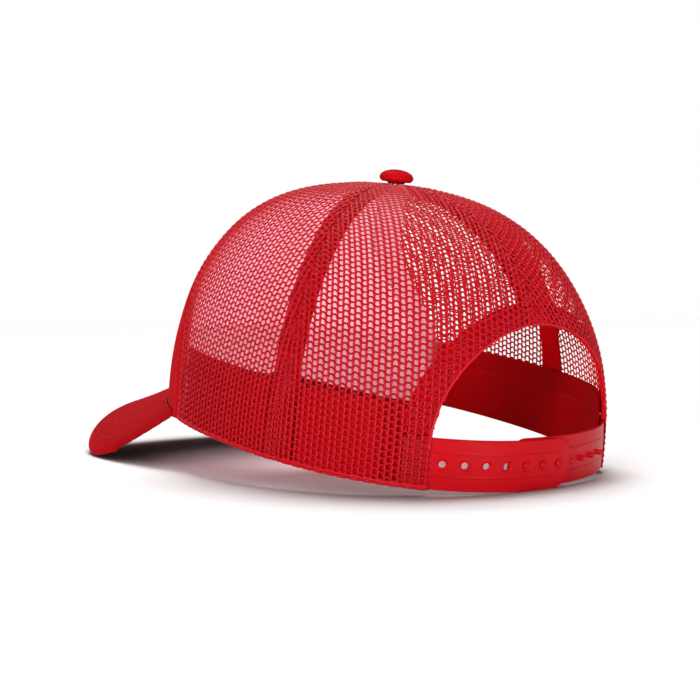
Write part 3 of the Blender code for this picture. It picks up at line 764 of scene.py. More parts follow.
def fold_in(azimuth, share, low, high, arch):
    """The net as sewn: what lies past a seam or the arch's edge is folded in behind the net.

    Gives the azimuth, share, depth and whether the place is part of the panel at all.
    """
    low_edge, high_edge = low(share), high(share)
    step = around_step(azimuth, share)
    past_high = (azimuth - high_edge) * step + 0.00015
    past_low = (low_edge - azimuth) * step + 0.00015
    half = (high_edge - low_edge) / 2
    kept = (past_high < FOLD_WIDTH) & (past_low < FOLD_WIDTH)
    kept &= (azimuth - high_edge < 0.6 * half) & (low_edge - azimuth < 0.6 * half)
    depth = NET_DEPTH + drawn_in(past_high) + drawn_in(past_low)
    azimuth = np.where(past_high > 0, 2 * high_edge - azimuth, azimuth)
    azimuth = np.where(past_low > 0, 2 * low_edge - azimuth, azimuth)
    if arch:
        flat = dome_point(azimuth, share)
        outside, gx, gz = arch_distance(flat[..., 0], flat[..., 2])
        kept &= outside > -BINDING_WIDTH * 0.8
        depth = depth + drawn_in(-outside)
        tucked = outside < 0.0
        x = flat[..., 0] - 2 * outside * gx
        z = flat[..., 2] - 2 * outside * gz
        mirrored = azimuth_at(x, z)
        azimuth = np.where(tucked, mirrored, azimuth)
        share = np.where(tucked, share_at_height(mirrored, z), share)
    return azimuth, share, depth, kept


def runs(kept, least=3):
    """Starts and ends of the stretches where kept is true."""
    edges = np.flatnonzero(np.diff(np.concatenate([[0], kept.astype(int), [0]])))
    return [(a, b) for a, b in zip(edges[::2], edges[1::2]) if b - a >= least]


def net_lines(place, low, high, arch, seed):
    """Threads of one panel, as (line, normals, is cross thread).

    Wales come first, then cross threads, the hem rows and, on a rear panel, the arch's edge.
    """
    draw = random.Random(seed)
    top = place.lengths[-1]
    wide = place.span
    found = []

    def add(u, v, lift, cross):
        azimuth, share = place(u, v)
        azimuth, share, depth, kept = fold_in(azimuth, share, low, high, arch)
        for a, b in runs(kept):
            line = crown_point(azimuth[a:b], share[a:b], depth[a:b] - lift[a:b])
            found.append((line, dome_normal(azimuth[a:b], share[a:b]), cross))

    count = int(wide / WALE_PITCH)
    for k in range(-count, count + 1):
        v = np.arange(0.0, top, ROW_PITCH / 2)
        v[0] = draw.uniform(0.0, 0.0003)
        sway = WALE_SWAY * np.cos(math.tau * v / ROW_PITCH + math.pi * (k % 2))
        u = k * WALE_PITCH + sway + draw.uniform(-0.00008, 0.00008)
        add(u, v, np.full(len(v), -0.00005), False)

    parts_of_column = 3
    for j in range(0, int(top / ROW_PITCH)):
        t = np.arange(-count * parts_of_column, count * parts_of_column + 1) / parts_of_column
        u = t * WALE_PITCH
        stagger = np.cos(math.pi * (t - 0.5))
        stagger = np.sign(stagger) * np.abs(stagger) ** 0.6
        near_wale = np.cos(math.pi * (t - np.round(t))) ** 2
        v = j * ROW_PITCH + ROW_PITCH / 4 * stagger + draw.uniform(-0.00007, 0.00007)
        v = np.maximum(v, 0.0003)
        add(u, v, THREAD_LIFT * near_wale, True)
    reach = np.linspace(-wide, wide, 700)
    for row in HEM_ROWS:
        add(reach, np.full(len(reach), row), np.zeros(len(reach)), False)
    if arch:
        side = 1.0 if low(0.0) >= 0.0 else -1.0
        turn = np.linspace(0.0, math.pi / 2, 200)
        line, below = (arch_place(turn, 0.0005, NET_DEPTH + depth, 0.0006) * (side, 1.0, 1.0)
                       for depth in (0.0001, 0.0011))
        found.append((line, (line - below) / 0.001, False))
    return found


def net_panel(name, low, high, arch, seed):
    centre = float(low(0.0) + high(0.0)) / 2
    place = NetPlace(centre)
    lines = net_lines(place, low, high, arch, seed)
    widths = [THREAD_WIDTH if cross else WALE_WIDTH for _, _, cross in lines]
    hems = len(HEM_ROWS) + (1 if arch else 0)
    widths[-hems:] = [HEM_WIDTH] * hems
    thick = [THREAD_THICKNESS if cross else WALE_THICKNESS for _, _, cross in lines]
    points, quads, caps = tubes([line for line, _, _ in lines], [n for _, n, _ in lines],
                                widths, thick, 4)
    # painted shade: darker on the ridge of a cross thread and on the flanks of a wale
    ring = {True: (0.25, 1.0, 0.25, 1.0), False: (0.35, 0.0, 0.35, 0.0)}
    thread = np.concatenate([np.tile(ring[cross], len(line)) for line, _, cross in lines])
    made = piece(name + "_net", points, [quads, caps], NET, {"thread": thread})
    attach(made, "cap")
    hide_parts(name)
    return made


def build_net():
    panels = [
        ("side_mesh_left", SEAMS["rear_left"], front_seam, False),
        ("side_mesh_right", front_seam_right, SEAMS["rear_right"], False),
        ("rear_mesh_left", SEAMS["centre_back"], SEAMS["rear_left"], True),
        ("rear_mesh_right", SEAMS["rear_right"], SEAMS["centre_back"], True),
    ]
    for seed, (name, low, high, arch) in enumerate(panels):
        net_panel(name, low, high, arch, seed)


# ---------------------------------------------------------------- cloth of the crown
def edge_dip(distance, reach=0.0013, depth=0.0005):
    """Cloth turned in at a sewn edge; distance is inwards from the edge."""
    return depth * np.exp(-(np.maximum(distance, 0.0) / reach) ** 2)


def front_grid(columns, rows, top, crowding):
    """Places across the front and shares of its height, from the rim to a share of the dome."""
    across, up = np.meshgrid(np.linspace(0, 1, columns), np.linspace(0, 1, rows))
    guess = FRONT_SEAM_LOW + (math.tau - 2 * FRONT_SEAM_LOW) * across
    low = share_at_height(guess, rim_height(guess))
    return across, low + (top - low) * up ** crowding


def build_front_panel():
    across, share = front_grid(170, 150, TOP_SHARE, 0.9)
    left, right = front_seam(share), front_seam_far(share)
    azimuth = left + (right - left) * across
    inset = 0.0002 / around_step(azimuth, share)
    azimuth = np.clip(azimuth, left + inset, right - inset)
    from_seam = np.minimum(azimuth - left, right - azimuth) * around_step(azimuth, share)
    dip = edge_dip(from_seam)
    puff = 0.00012 * noise(5, azimuth * 30.0, share * 40.0) * smooth(from_seam, 0.002, 0.01)
    row = edge_dip(np.abs(from_seam - STITCH_OFFSET), 0.0005, 0.00022)
    outer = crown_point(azimuth, share, dip + puff + row)
    inner = crown_point(azimuth, share, dip + puff + row + FRONT_THICKNESS * 0.85)
    cloth("front_panel_cloth", outer, inner, FRONT_CLOTH, ["front_panel"])


def build_front_backing():
    across, share = front_grid(110, 90, 0.97, 1.0)
    left, right = front_seam(share), front_seam_far(share)
    inset = (SEAM_TAPE_WIDTH / 2 + 0.0004) / around_step(left, share)
    left, right = left + inset, right - inset
    azimuth = left + (right - left) * across
    wrinkle = 0.00022 * noise(9, azimuth * 24.0, share * 30.0, azimuth * share * 20.0)
    height = dome_point(azimuth, share)[..., 2]
    for row_height in (0.0335, 0.0362):
        wrinkle = wrinkle + edge_dip(np.abs(height - row_height), 0.0005, -0.0002)
    outer = crown_point(azimuth, share, BACKING_DEPTH)
    inner = crown_point(azimuth, share, BACKING_DEPTH + BACKING_THICKNESS + wrinkle)
    cloth("front_panel_lining", outer, inner, BACKING, ["front_panel_backing"])


def tape_grids(line_point, length_steps, across_steps, ridges):
    """Outer and inner grids of a tape; line_point(across, up, depth) places it."""
    across, up = np.meshgrid(np.linspace(0, 1, across_steps), np.linspace(0, 1, length_steps))
    rib = np.zeros_like(across)
    for place in ridges:
        rib += np.exp(-((across - place) / 0.035) ** 2)
    outer = line_point(across, up, TAPE_DEPTH + 0.00005 * rib)
    inner = line_point(across, up, TAPE_DEPTH + TAPE_THICKNESS + 0.00012 - 0.00016 * rib)
    return outer, inner


def seam_tape(name, seam, foot, rows):
    def place(across, up, depth):
        guess = seam(0.0) + turn_for(seam(0.0), 0.0, (2 * across - 1) * SEAM_TAPE_WIDTH / 2)
        low = share_at_height(guess, np.maximum(foot, rim_height(guess)))
        share = low + (0.975 - low) * up
        centre = seam(share)
        limit = math.radians(27.0)
        turn = turn_for(centre, share, (2 * across - 1) * SEAM_TAPE_WIDTH / 2)
        reach = np.clip(turn, -limit, limit)
        return crown_point(centre + reach, share, depth)
    outer, inner = tape_grids(place, rows, 27, (0.165, 0.835))
    blank = np.zeros(outer.shape[:2])
    marks, material = None, TAPE_CLOTH
    if name.startswith("front"):
        marks, material = {"pale": (blank, blank + 1.0)}, FRONT_TAPE_CLOTH
    cloth(name + "_cloth", outer, inner, material, [name],
          marks=marks)


def build_tapes():
    binding_top = ARCH_TOP + BINDING_WIDTH + 0.0003
    for name in ("front_left", "front_right", "rear_left", "rear_right"):
        seam_tape(name + "_seam_tape", SEAMS[name], 0.0, 120)
    seam_tape("centre_back_seam_tape", SEAMS["centre_back"], binding_top, 70)


def arch_place(turn, widening, depth, foot):
    """Place beside the arch's edge: turn runs from the wearer's left foot to the right one."""
    rise = ARCH_TOP - ARCH_SPRING
    x = (ARCH_HALF_WIDTH + widening) * np.cos(turn)
    height = np.maximum(ARCH_SPRING + (rise + widening) * np.sin(turn), foot)
    azimuth = azimuth_at(x, height)
    return crown_point(azimuth, share_at_height(azimuth, height), depth)


STRAP_TOP = max(STRAP_LIFT.values()) + STRAP_HEIGHT + 0.0003


def build_arch_binding():
    foot = math.asin((STRAP_TOP - ARCH_SPRING) / (ARCH_TOP - ARCH_SPRING))

    def place(across, up, depth):
        turn = foot + (math.pi - 2 * foot) * up
        return arch_place(turn, 0.0004 + (BINDING_WIDTH - 0.0004) * across, depth, STRAP_TOP)
    outer, inner = tape_grids(place, 170, 19, (0.13, 0.86))
    cloth("arch_binding_cloth", outer, inner, TAPE_CLOTH, ["arch_binding"])


# ---------------------------------------------------------------- sweatband
def band_section():
    """(depth, height share) round the folded band, outer ply first, with its top rolled over."""
    outer, inner = SWEATBAND_DEPTH, SWEATBAND_DEPTH + SWEATBAND_THICKNESS
    middle, radius = (outer + inner) / 2, SWEATBAND_THICKNESS / 2
    roll = radius / SWEATBAND_HEIGHT
    heights = np.linspace(0.0, 1.0 - roll, 26)
    section = [(outer, h) for h in heights]
    for i in range(1, 9):
        turn = math.pi * i / 9
        section.append((middle - radius * math.cos(turn), 1.0 - roll + roll * math.sin(turn)))
    section += [(inner, h) for h in heights[::-1]]
    return np.array(section)


def against_net(azimuth):
    """How much further out the band's outer ply lies where only the net covers it."""
    turned = np.where(azimuth > math.pi, azimuth - math.tau, azimuth)
    free = smooth(np.abs(turned), *(rim_azimuth(arc) for arc in CLEAR_OF_STRAP))
    near_front = smooth(np.abs(turned), *(FRONT_SEAM_LOW - angle for angle in CLEAR_OF_FRONT))
    free = free * (1.0 - near_front)
    step = around_step(REAR_SEAM, 0.0)
    free = free * smooth(np.abs(np.abs(turned) - REAR_SEAM) * step, *CLEAR_OF_TAPE)
    return BAND_OUTSET * free


def build_sweatband():
    start = azimuth_at(ARCH_HALF_WIDTH, 0.0)
    start = float(start + 0.0015 / around_step(start, 0.0))
    azimuth = np.linspace(start, math.tau - start, 420)[:, None]
    section = band_section()
    foot = rim_height(azimuth)
    from_back = np.minimum(azimuth, math.tau - azimuth)
    shut = 0.12 + 0.88 * smooth((from_back - start) * around_step(start, 0.0), 0.0, 0.0022)
    height = section[:, 1][None, :]
    to_middle = BAND_MIDDLE - section[:, 0][None, :]
    inside = np.clip(-to_middle / (SWEATBAND_THICKNESS / 2), 0.0, 1.0)
    outer_side = np.clip(to_middle / (SWEATBAND_THICKNESS / 2), 0.0, 1.0)
    ripple = 0.00035 * noise(3, azimuth * 14.0, height * 5.0, azimuth * 31.0)
    ripple = ripple * smooth(height, 0.1, 0.9)
    low_row, high_row = BAND_ROWS
    groove = edge_dip(np.abs(height - high_row), 0.018, -0.00035)
    groove = groove + edge_dip(np.abs(height - low_row), 0.02, -0.0003)
    grids = []
    for ply in (0.0, BAND_PLY):
        depth = section[:, 0][None, :] + np.clip(to_middle, -ply, ply)
        level = foot + height * (SWEATBAND_HEIGHT - foot) - np.where(height > 0.9, ply, 0.0)
        depth = depth + inside * (0.00015 + ripple * 0.6 + groove)
        depth = depth - outer_side * against_net(azimuth) * smooth(height, -0.2, 0.05)
        depth = BAND_MIDDLE + (depth - BAND_MIDDLE) * shut
        share = share_at_height(azimuth, level)
        grids.append(layer_point(azimuth, share, depth))
    outer, inner = grids
    # the outside mark gives the outer ply its painted light, a lighter red than the inner face of
    # the same cloth
    marks = {
        "outside": np.broadcast_to(smooth(outer_side, 0.0, 0.6), share.shape).T,
        "pale": (smooth(from_back, *PALE_FRONT) * (1.0 - outer_side)).T,
    }
    cloth("sweatband_cloth", outer.transpose(1, 0, 2), inner.transpose(1, 0, 2), SWEATBAND_CLOTH,
          ["sweatband"], marks)
    build_filling(start)


def build_filling(start):
    """The stiffening inside the folded band, ending a little short of the band's own ends."""
    start = start + 0.0040 / float(around_step(start, 0.0))
    azimuth, up = np.meshgrid(np.linspace(start, math.tau - start, 300), np.linspace(0.0, 1.0, 9))
    foot = rim_height(azimuth) + 0.0012
    share = share_at_height(azimuth, foot + up * (SWEATBAND_HEIGHT - 0.0022 - foot))
    cloth("sweatband_filling", layer_point(azimuth, share, BAND_MIDDLE - FILLING_THICKNESS / 2),
          layer_point(azimuth, share, BAND_MIDDLE + FILLING_THICKNESS / 2), FILLING,
          ["sweatband_interlining"])


# ---------------------------------------------------------------- visor
def visor_outline(turn):
    x = VISOR_HALF_WIDTH * signed_power(np.sin(turn), 2.0 / VISOR_POWER)
    reach = RIM_HALF_LENGTH + VISOR_LENGTH + VISOR_WIDEST
    return np.stack([x, VISOR_WIDEST - reach * np.abs(np.cos(turn)) ** (2.0 / VISOR_POWER)], -1)


def visor_root(turn):
    azimuth = math.pi - (math.pi - VISOR_AZIMUTH) * turn / (math.pi / 2)
    return layer_point(azimuth, 0.0, -0.0005)[..., :2]


def edge_way(turn):
    """Way straight out from the visor's edge, in plan."""
    ahead = visor_outline(turn + 0.002) - visor_outline(turn - 0.002)
    ahead /= np.linalg.norm(ahead, axis=-1, keepdims=True)
    return np.stack([ahead[..., 1], -ahead[..., 0]], -1)


VISOR_EDGE = visor_outline(np.linspace(-math.pi / 2, math.pi / 2, 721))
STITCH_ROWS = [0.0045 + 0.0072 * i for i in range(8)]


def distance_to_edge(plan):
    flat = plan.reshape(-1, 2)
    found = np.empty(len(flat))
    for start in range(0, len(flat), 4000):
        part = flat[start:start + 4000]
        gaps = np.linalg.norm(part[:, None, :] - VISOR_EDGE[None, :, :], axis=-1)
        found[start:start + 4000] = gaps.min(axis=1)
    return found.reshape(plan.shape[:-1])


def visor_place(plan, lift):
    height = visor_height(plan[..., 0], plan[..., 1])
    height = height + lift * visor_steepness(plan[..., 0], plan[..., 1])
    return np.concatenate([plan, height[..., None]], -1)


def beside(plan, root, edge):
    """Distance inwards from the visor's straight side edges, or forwards from where they end."""
    gaps = []
    for end, hand in ((0, -1.0), (-1, 1.0)):
        along = edge[end] - root[end]
        along = along / np.linalg.norm(along)
        offset = plan - root[end]
        gaps.append(hand * (offset[..., 0] * along[1] - offset[..., 1] * along[0]))
    return np.maximum(np.minimum(*gaps), VISOR_WIDEST - plan[..., 1])


def rounded(distance):
    """Share of the visor's half thickness that is left near a side edge."""
    return np.sqrt(1.0 - (1.0 - np.clip(distance / (VISOR_THICKNESS / 2), 0.0, 1.0)) ** 2)


def visor_cover(name, side, node):
    """Cloth over one face of the board, rolled round half of its edge; side is 1 or -1, 1 above."""
    radius = VISOR_THICKNESS / 2
    turn = math.pi / 2 * np.sin(np.linspace(-math.pi / 2, math.pi / 2, 240))
    root, edge = visor_root(turn), visor_outline(turn)
    reach = np.linalg.norm(edge - root, axis=1)[:, None]
    outward_way = edge_way(turn)
    from_corner = smooth(VISOR_WIDEST - edge[:, 1], 0.0, CORNER_REACH)[:, None]
    roll = np.minimum(radius, reach * 0.45) * np.maximum(from_corner, 0.03)
    flat_end = edge - outward_way * roll
    shares = np.linspace(0.0, 1.0, 96)
    grids = []
    for skin, seat in ((0.0, 0.00012), (VISOR_PLY, 0.00004)):
        lines = []

        def lay(plan, lift):
            left = rounded(beside(plan, root, flat_end) - skin)
            lines.append(visor_place(plan, side * (lift * left + seat)))
        for share in shares:
            plan = root + (flat_end - root) * share
            gap = distance_to_edge(plan)
            groove = sum(edge_dip(np.abs(gap - row), 0.0006, 0.00016) for row in STITCH_ROWS)
            lay(plan, radius - seat - groove - skin)
        for i in range(1, 7):
            angle = math.pi / 2 * i / 6
            bend = 1.0 - skin / radius
            plan = flat_end + outward_way * roll * math.sin(angle) * bend
            lay(plan, (radius * bend - seat) * math.cos(angle))
        grids.append(np.stack(lines))
    outer, inner = grids
    cloth(name, outer, inner, VISOR_CLOTH, [node])


def build_visor_board():
    """The stiff board, a little smaller than its covers."""
    even = np.linspace(-1.0, 1.0, 120)
    turn = math.pi / 2 * even * BOARD_SPAN
    root = visor_root(turn)
    edge = visor_outline(turn)
    inset = np.minimum(BOARD_INSET, np.linalg.norm(edge - root, axis=1) * 0.35)[:, None]
    edge = edge - edge_way(turn) * inset
    plan = root[None] + (edge - root)[None] * np.linspace(0.01, 1.0, 40)[:, None, None]
    outer, inner = (visor_place(plan, side * BOARD_HALF_THICKNESS) for side in (1, -1))
    points, faces = solid_sheet(outer, inner)
    made = outward(piece("visor_stiff_board", points, faces, BOARD))
    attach(made, "cap")
    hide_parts("visor_board")


def visor_stitches(side):
    """Stitch rows of one face of the visor, parallel to its edge."""
    lines = []
    ahead = np.gradient(VISOR_EDGE, axis=0)
    ahead /= np.linalg.norm(ahead, axis=1, keepdims=True)
    inward = np.stack([ahead[:, 1], -ahead[:, 0]], -1)
    if inward[len(inward) // 2][1] < 0:
        inward = -inward
    for row in STITCH_ROWS:
        plan = VISOR_EDGE + inward * row
        root_gap = np.linalg.norm(plan, axis=1)
        azimuth = np.arctan2(plan[:, 0], plan[:, 1])
        outline = np.linalg.norm(np.stack(rim_point_towards(azimuth), -1), axis=1)
        kept = (root_gap > outline + 0.0022) & (distance_to_edge(plan) > row * 0.97)
        kept &= plan[:, 1] < rim_point(VISOR_AZIMUTH)[1]
        for a, b in runs(kept, 12):
            lines.append(visor_place(plan[a:b], side * (VISOR_THICKNESS / 2 - 0.00008)))
    return lines


def rim_point_towards(azimuth):
    """Rim point in a plain direction; the rim's own azimuth runs a little differently."""
    table = np.linspace(-math.pi, math.pi, 2881)
    x, y = rim_point(table)
    real = np.unwrap(np.arctan2(x, y))
    order = np.argsort(real)
    chosen = np.interp(azimuth, real[order], table[order])
    return rim_point(chosen)


def build_visor():
    build_visor_board()
    visor_cover("visor_top_cloth", 1, "visor_top_cover")
    visor_cover("visor_under_cloth", -1, "visor_under_cover")


# ---------------------------------------------------------------- stitching
def stitches(name, lines, normals, length=0.0021, gap=0.0008, width=0.00034):
    """Short threads laid along lines on a surface, each sinking into the cloth at its ends."""
    found, ways, sizes = [], [], []
    for line, normal in zip(lines, normals):
        steps = np.linalg.norm(np.diff(line, axis=0), axis=1)
        places = np.concatenate([[0.0], np.cumsum(steps)])
        count = int(places[-1] / (length + gap))
        for i in range(count):
            at = i * (length + gap) + np.linspace(0.0, length, 5)
            point = np.stack([np.interp(at, places, line[:, k]) for k in range(3)], -1)
            way = np.stack([np.interp(at, places, normal[:, k]) for k in range(3)], -1)
            sink = np.array([-0.00022, 0.00002, 0.00009, 0.00002, -0.00022])
            found.append(point + way * sink[:, None])
            ways.append(way)
            sizes.append(width)
    points, quads, caps = tubes(found, ways, sizes, sizes, 5)
    made = piece(name, points, [quads, caps], THREAD)
    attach(made, "cap")


def seam_rows():
    """Stitch rows on both sides of each seam of the crown."""
    lines, normals = [], []
    for name, seam in SEAMS.items():
        foot = ARCH_TOP + BINDING_WIDTH if name == "centre_back" else 0.001
        low = float(share_at_height(seam(0.0), foot))
        share = np.linspace(low, 0.955, 400)
        for side in (-1, 1):
            limit = math.radians(20.0)
            reach = np.clip(turn_for(seam(share), share, side * STITCH_OFFSET), -limit, limit)
            azimuth = seam(share) + reach
            lines.append(crown_point(azimuth, share, 0.00002))
            normals.append(dome_normal(azimuth, share))
    return lines, normals


def arch_rows():
    lines, normals = [], []
    for widening in (0.0012, 0.0072):
        turn = np.linspace(0.05, math.pi - 0.05, 500)
        line = arch_place(turn, widening, 0.00002, 0.001)
        lines.append(line)
        lower = arch_place(turn, widening, 0.001, 0.001)
        way = line - lower
        normals.append(way / np.linalg.norm(way, axis=1, keepdims=True))
    return lines, normals


def inside_rows():
    """The sweatband's stitch rows, on its inner face."""
    lines, normals = [], []
    azimuth = np.linspace(0.75, math.tau - 0.75, 900)
    foot = rim_height(azimuth)
    for height in BAND_ROWS:
        level = foot + height * (SWEATBAND_HEIGHT - foot)
        share = share_at_height(azimuth, level)
        depth = SWEATBAND_DEPTH + SWEATBAND_THICKNESS - 0.00012
        lines.append(layer_point(azimuth, share, depth))
        normals.append(-dome_normal(azimuth, share))
    return lines, normals


def build_stitches():
    lines, normals = seam_rows()
    arch_lines, arch_normals = arch_rows()
    stitches("crown_stitching", lines + arch_lines, normals + arch_normals)
    lines, normals = inside_rows()
    stitches("sweatband_stitching", lines, normals, 0.0024, 0.0010, 0.00030)
    for name, side in (("visor_top_stitching", 1), ("visor_under_stitching", -1)):
        lines = visor_stitches(side)
        up = np.array([0.0, -0.3, 1.0]) / math.hypot(0.3, 1.0) * side
        ways = [np.broadcast_to(up, line.shape) for line in lines]
        stitches(name, lines, ways, 0.0024, 0.0009, 0.00030)


# ---------------------------------------------------------------- button
def build_button():
    """Cloth drawn over a domed shell and gathered underneath."""
    around = np.arange(96) / 96 * math.tau
    skirt = BUTTON_HEIGHT * 0.32
    profile = []                    # radius share, height, how far gathered
    for i in range(15):
        turn = math.pi / 2 * i / 14
        height = skirt + (BUTTON_HEIGHT - skirt) * math.cos(turn) ** 0.9
        profile.append((max(math.sin(turn), 0.01), height, 0.0))
    for i in range(1, 9):
        turn = math.pi / 2 * i / 8
        profile.append((0.55 + 0.45 * math.cos(turn), skirt * (1 - math.sin(turn)), i / 8))
    profile.append((0.50, -0.0002, 1.0))
    profile.append((0.46, -0.0007, 1.0))
    grids = []
    for skin in (0.0, 0.0004):
        rings = []
        for radius, height, gather in profile:
            pleat = 1.0 + gather * 0.035 * np.sin(around * 13.0)
            seam = 0.00012 * (1.0 - gather) * radius * np.abs(np.cos(around)) ** 60
            reach = (radius * BUTTON_RADIUS - skin) * pleat - seam
            reach = np.maximum(reach, 0.00005)
            level = BUTTON_BASE + height + (skin if gather > 0.5 else -skin)
            rings.append(np.stack([reach * np.cos(around), CROWN_TOP_SHIFT + reach * np.sin(around),
                                   np.full(len(around), level)], -1))
        grids.append(np.stack(rings))
    points, faces = solid_sheet(grids[0], grids[1], closed=True)
    lengths = np.concatenate([grids[0].reshape(-1, 3)] * 2)
    made = outward(piece("button_cloth_cover", points, faces, BUTTON_CLOTH,
                         {"u": lengths[:, 0], "v": lengths[:, 1]}))
    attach(made, "cap")
    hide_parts("button_cover")


# ---------------------------------------------------------------- snap strap
def hole_arcs():
    first = HINGE_ARC - FIRST_HOLE_MARGIN
    return [first - i * PEG_PITCH for i in range(HOLE_COUNT)]


def peg_arcs():
    innermost = hole_arcs()[-3]
    count = int((innermost + HINGE_ARC - PEG_ROOT_MARGIN) / PEG_PITCH) + 1
    return [innermost - i * PEG_PITCH for i in range(count)]


def peg_side_depth(arc):
    """Outer face of the peg strap: it dips in under the hole strap."""
    step = STRAP_THICKNESS + 0.0003
    return STRAP_DEPTH + step * smooth(arc, -HINGE_ARC, -0.018)


def strap_heights():
    """Shares of the strap's height, close together where its relief is."""
    edge = np.concatenate([np.linspace(0.0, 0.05, 7), np.linspace(0.06, 0.24, 8)])
    line = np.linspace(0.26, 0.31, 9)
    middle = np.linspace(0.315, 0.685, 46)
    return np.concatenate([edge, line, middle, (1 - line)[::-1], (1 - edge)[::-1]])


def strap_relief(arc, up, end, recesses):
    """Height of the strap's outer face: a thin raised rim, two fine lines, and rings for snaps."""
    rise = 0.00014 * np.exp(-(np.minimum(up, 1 - up) / 0.025) ** 2)
    from_end = np.abs(end - arc)
    across = (up - 0.5) * STRAP_HEIGHT
    lane = 0.22 * STRAP_HEIGHT
    line_end = END_MARGIN * 0.55
    corner = np.maximum(line_end + lane - from_end, 0.0)
    outline = np.sqrt(across ** 2 + corner ** 2)
    rise = rise + 0.00013 * np.exp(-((outline - lane) / 0.00022) ** 2)
    rise = rise + 0.00010 * np.exp(-(from_end / 0.0005) ** 2)
    for centre in recesses:
        radius = np.hypot(arc - centre, across)
        rise = rise - RECESS_DEPTH * (1 - smooth(radius, RECESS_RADIUS - 0.00022, RECESS_RADIUS))
        rise = rise + 0.00006 * np.exp(-((radius - RECESS_RADIUS - 0.0002) / 0.00018) ** 2)
    return rise


def strap_body(name, root, end, depth, recesses):
    """Strap and its sewn root as one moulding, flat faces as (height, arc) grids."""
    steps = int(abs(end - root) / 0.00028)
    along = np.linspace(0.0, 1.0, steps)
    arc = root + (end - root) * along
    up = strap_heights()
    arc, up = np.meshgrid(arc, up)
    missing = np.maximum(END_RADIUS - np.abs(end - arc), 0.0)
    half = STRAP_HEIGHT / 2 + np.sqrt(np.maximum(END_RADIUS ** 2 - missing ** 2, 0.0)) - END_RADIUS
    half = np.maximum(half, STRAP_HEIGHT / 2 - END_RADIUS)
    rounding = 0.00035 * np.exp(-(np.minimum(up, 1 - up) / 0.012) ** 2)
    height = STRAP_LIFT[name] + STRAP_HEIGHT / 2 + half * (2 * up - 1)
    azimuth = rim_azimuth(arc)
    share = share_at_height(azimuth, height)
    relief = strap_relief(arc, 0.5 + (up - 0.5) * half / (STRAP_HEIGHT / 2), end, recesses)
    outer = layer_point(azimuth, share, depth(arc) - relief + rounding)
    inner = layer_point(azimuth, share, depth(arc) + STRAP_THICKNESS - rounding)
    return outer, inner


def along_strap(arc, name, depth):
    azimuth = rim_azimuth(arc)
    share = share_at_height(azimuth, STRAP_LIFT[name] + STRAP_HEIGHT / 2)
    normal = Vector(REST_TURN @ dome_normal(azimuth, share))
    place = Vector(to_world(layer_point(azimuth, share, depth)))
    return Matrix.Translation(place) @ normal.to_track_quat("Z", "Y").to_matrix().to_4x4()


def tool_object(name, bm):
    mesh = bpy.data.meshes.new(name)
    bm.to_mesh(mesh)
    bm.free()
    made = bpy.data.objects.new(name, mesh)
    bpy.context.scene.collection.objects.link(made)
    return made


def applied(made, tool, operation):
    """A Boolean, worked out and baked into the mesh; the tool is removed."""
    cut = made.modifiers.new("cut", "BOOLEAN")
    cut.operation = operation
    cut.object = tool
    cut.solver = "EXACT"
    graph = bpy.context.evaluated_depsgraph_get()
    mesh = bpy.data.meshes.new_from_object(made.evaluated_get(graph))
    made.modifiers.clear()
    made.data = mesh
    bpy.data.objects.remove(tool, do_unlink=True)
    return made


def bend_points(name, side):
    """Where the strap's bending starts and ends, on the cap's side and on the free side."""
    middle = STRAP_LIFT[name] + STRAP_HEIGHT / 2
    found = []
    for arc in (HINGE_ARC + BEND_REACH, HINGE_ARC - BEND_REACH):
        azimuth = rim_azimuth(side * arc)
        found.append(to_world(layer_point(azimuth, share_at_height(azimuth, middle), STRAP_DEPTH)))
    return found


def finish_strap(made, name, side):
    made.data.shade_smooth()
    sharp(made, 40.0)
    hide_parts(name, name + "_tab")
    start, end = bend_points(name, side)
    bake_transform(made)


def build_hole_strap():
    end = hole_arcs()[-1] - END_MARGIN
    outer, inner = strap_body("hole_strap", HINGE_ARC + TAB_LENGTH, end,
                              lambda arc: STRAP_DEPTH, hole_arcs())
    points, faces = solid_sheet(outer, inner)
    made = outward(piece("hole_strap_moulding", points, faces, PLASTIC))
    bm = bmesh.new()
    for arc in hole_arcs():
        bmesh.ops.create_cone(bm, cap_ends=True, segments=40, radius1=HOLE_RADIUS,
                              radius2=HOLE_RADIUS, depth=0.006,
                              matrix=along_strap(arc, "hole_strap", STRAP_DEPTH))
    finish_strap(applied(made, tool_object("punch", bm), "DIFFERENCE"), "hole_strap", 1)


def peg_shape(bm, seat):
    """A snap: a short neck with a domed head, turned round the seat's axis."""
    base = STRAP_THICKNESS * 0.5
    profile = [(0.00118, -base), (0.00104, 0.0005), (0.00102, 0.0011)]
    for i in range(7):
        turn = math.pi / 2 * i / 6
        profile.append((0.00122 * math.cos(turn) + 0.00001, 0.00135 + 0.0006 * math.sin(turn)))
    rings = []
    for radius, height in profile:
        ring = []
        for i in range(24):
            angle = math.tau * i / 24
            place = Vector((radius * math.cos(angle), radius * math.sin(angle), height))
            ring.append(bm.verts.new(seat @ place))
        rings.append(ring)
    for ring, following in zip(rings, rings[1:]):
        for i in range(24):
            j = (i + 1) % 24
            bm.faces.new((ring[i], ring[j], following[j], following[i]))
    bm.faces.new(reversed(rings[0]))
    bm.faces.new(rings[-1])


def build_peg_strap():
    end = peg_arcs()[0] + END_MARGIN
    outer, inner = strap_body("peg_strap", -(HINGE_ARC + TAB_LENGTH), end, peg_side_depth, [])
    points, faces = solid_sheet(outer, inner)
    made = outward(piece("peg_strap_moulding", points, faces, PLASTIC))
    bm = bmesh.new()
    for arc in peg_arcs():
        peg_shape(bm, along_strap(arc, "hole_strap", peg_side_depth(arc)))
    finish_strap(applied(made, tool_object("pegs", bm), "UNION"), "peg_strap", -1)


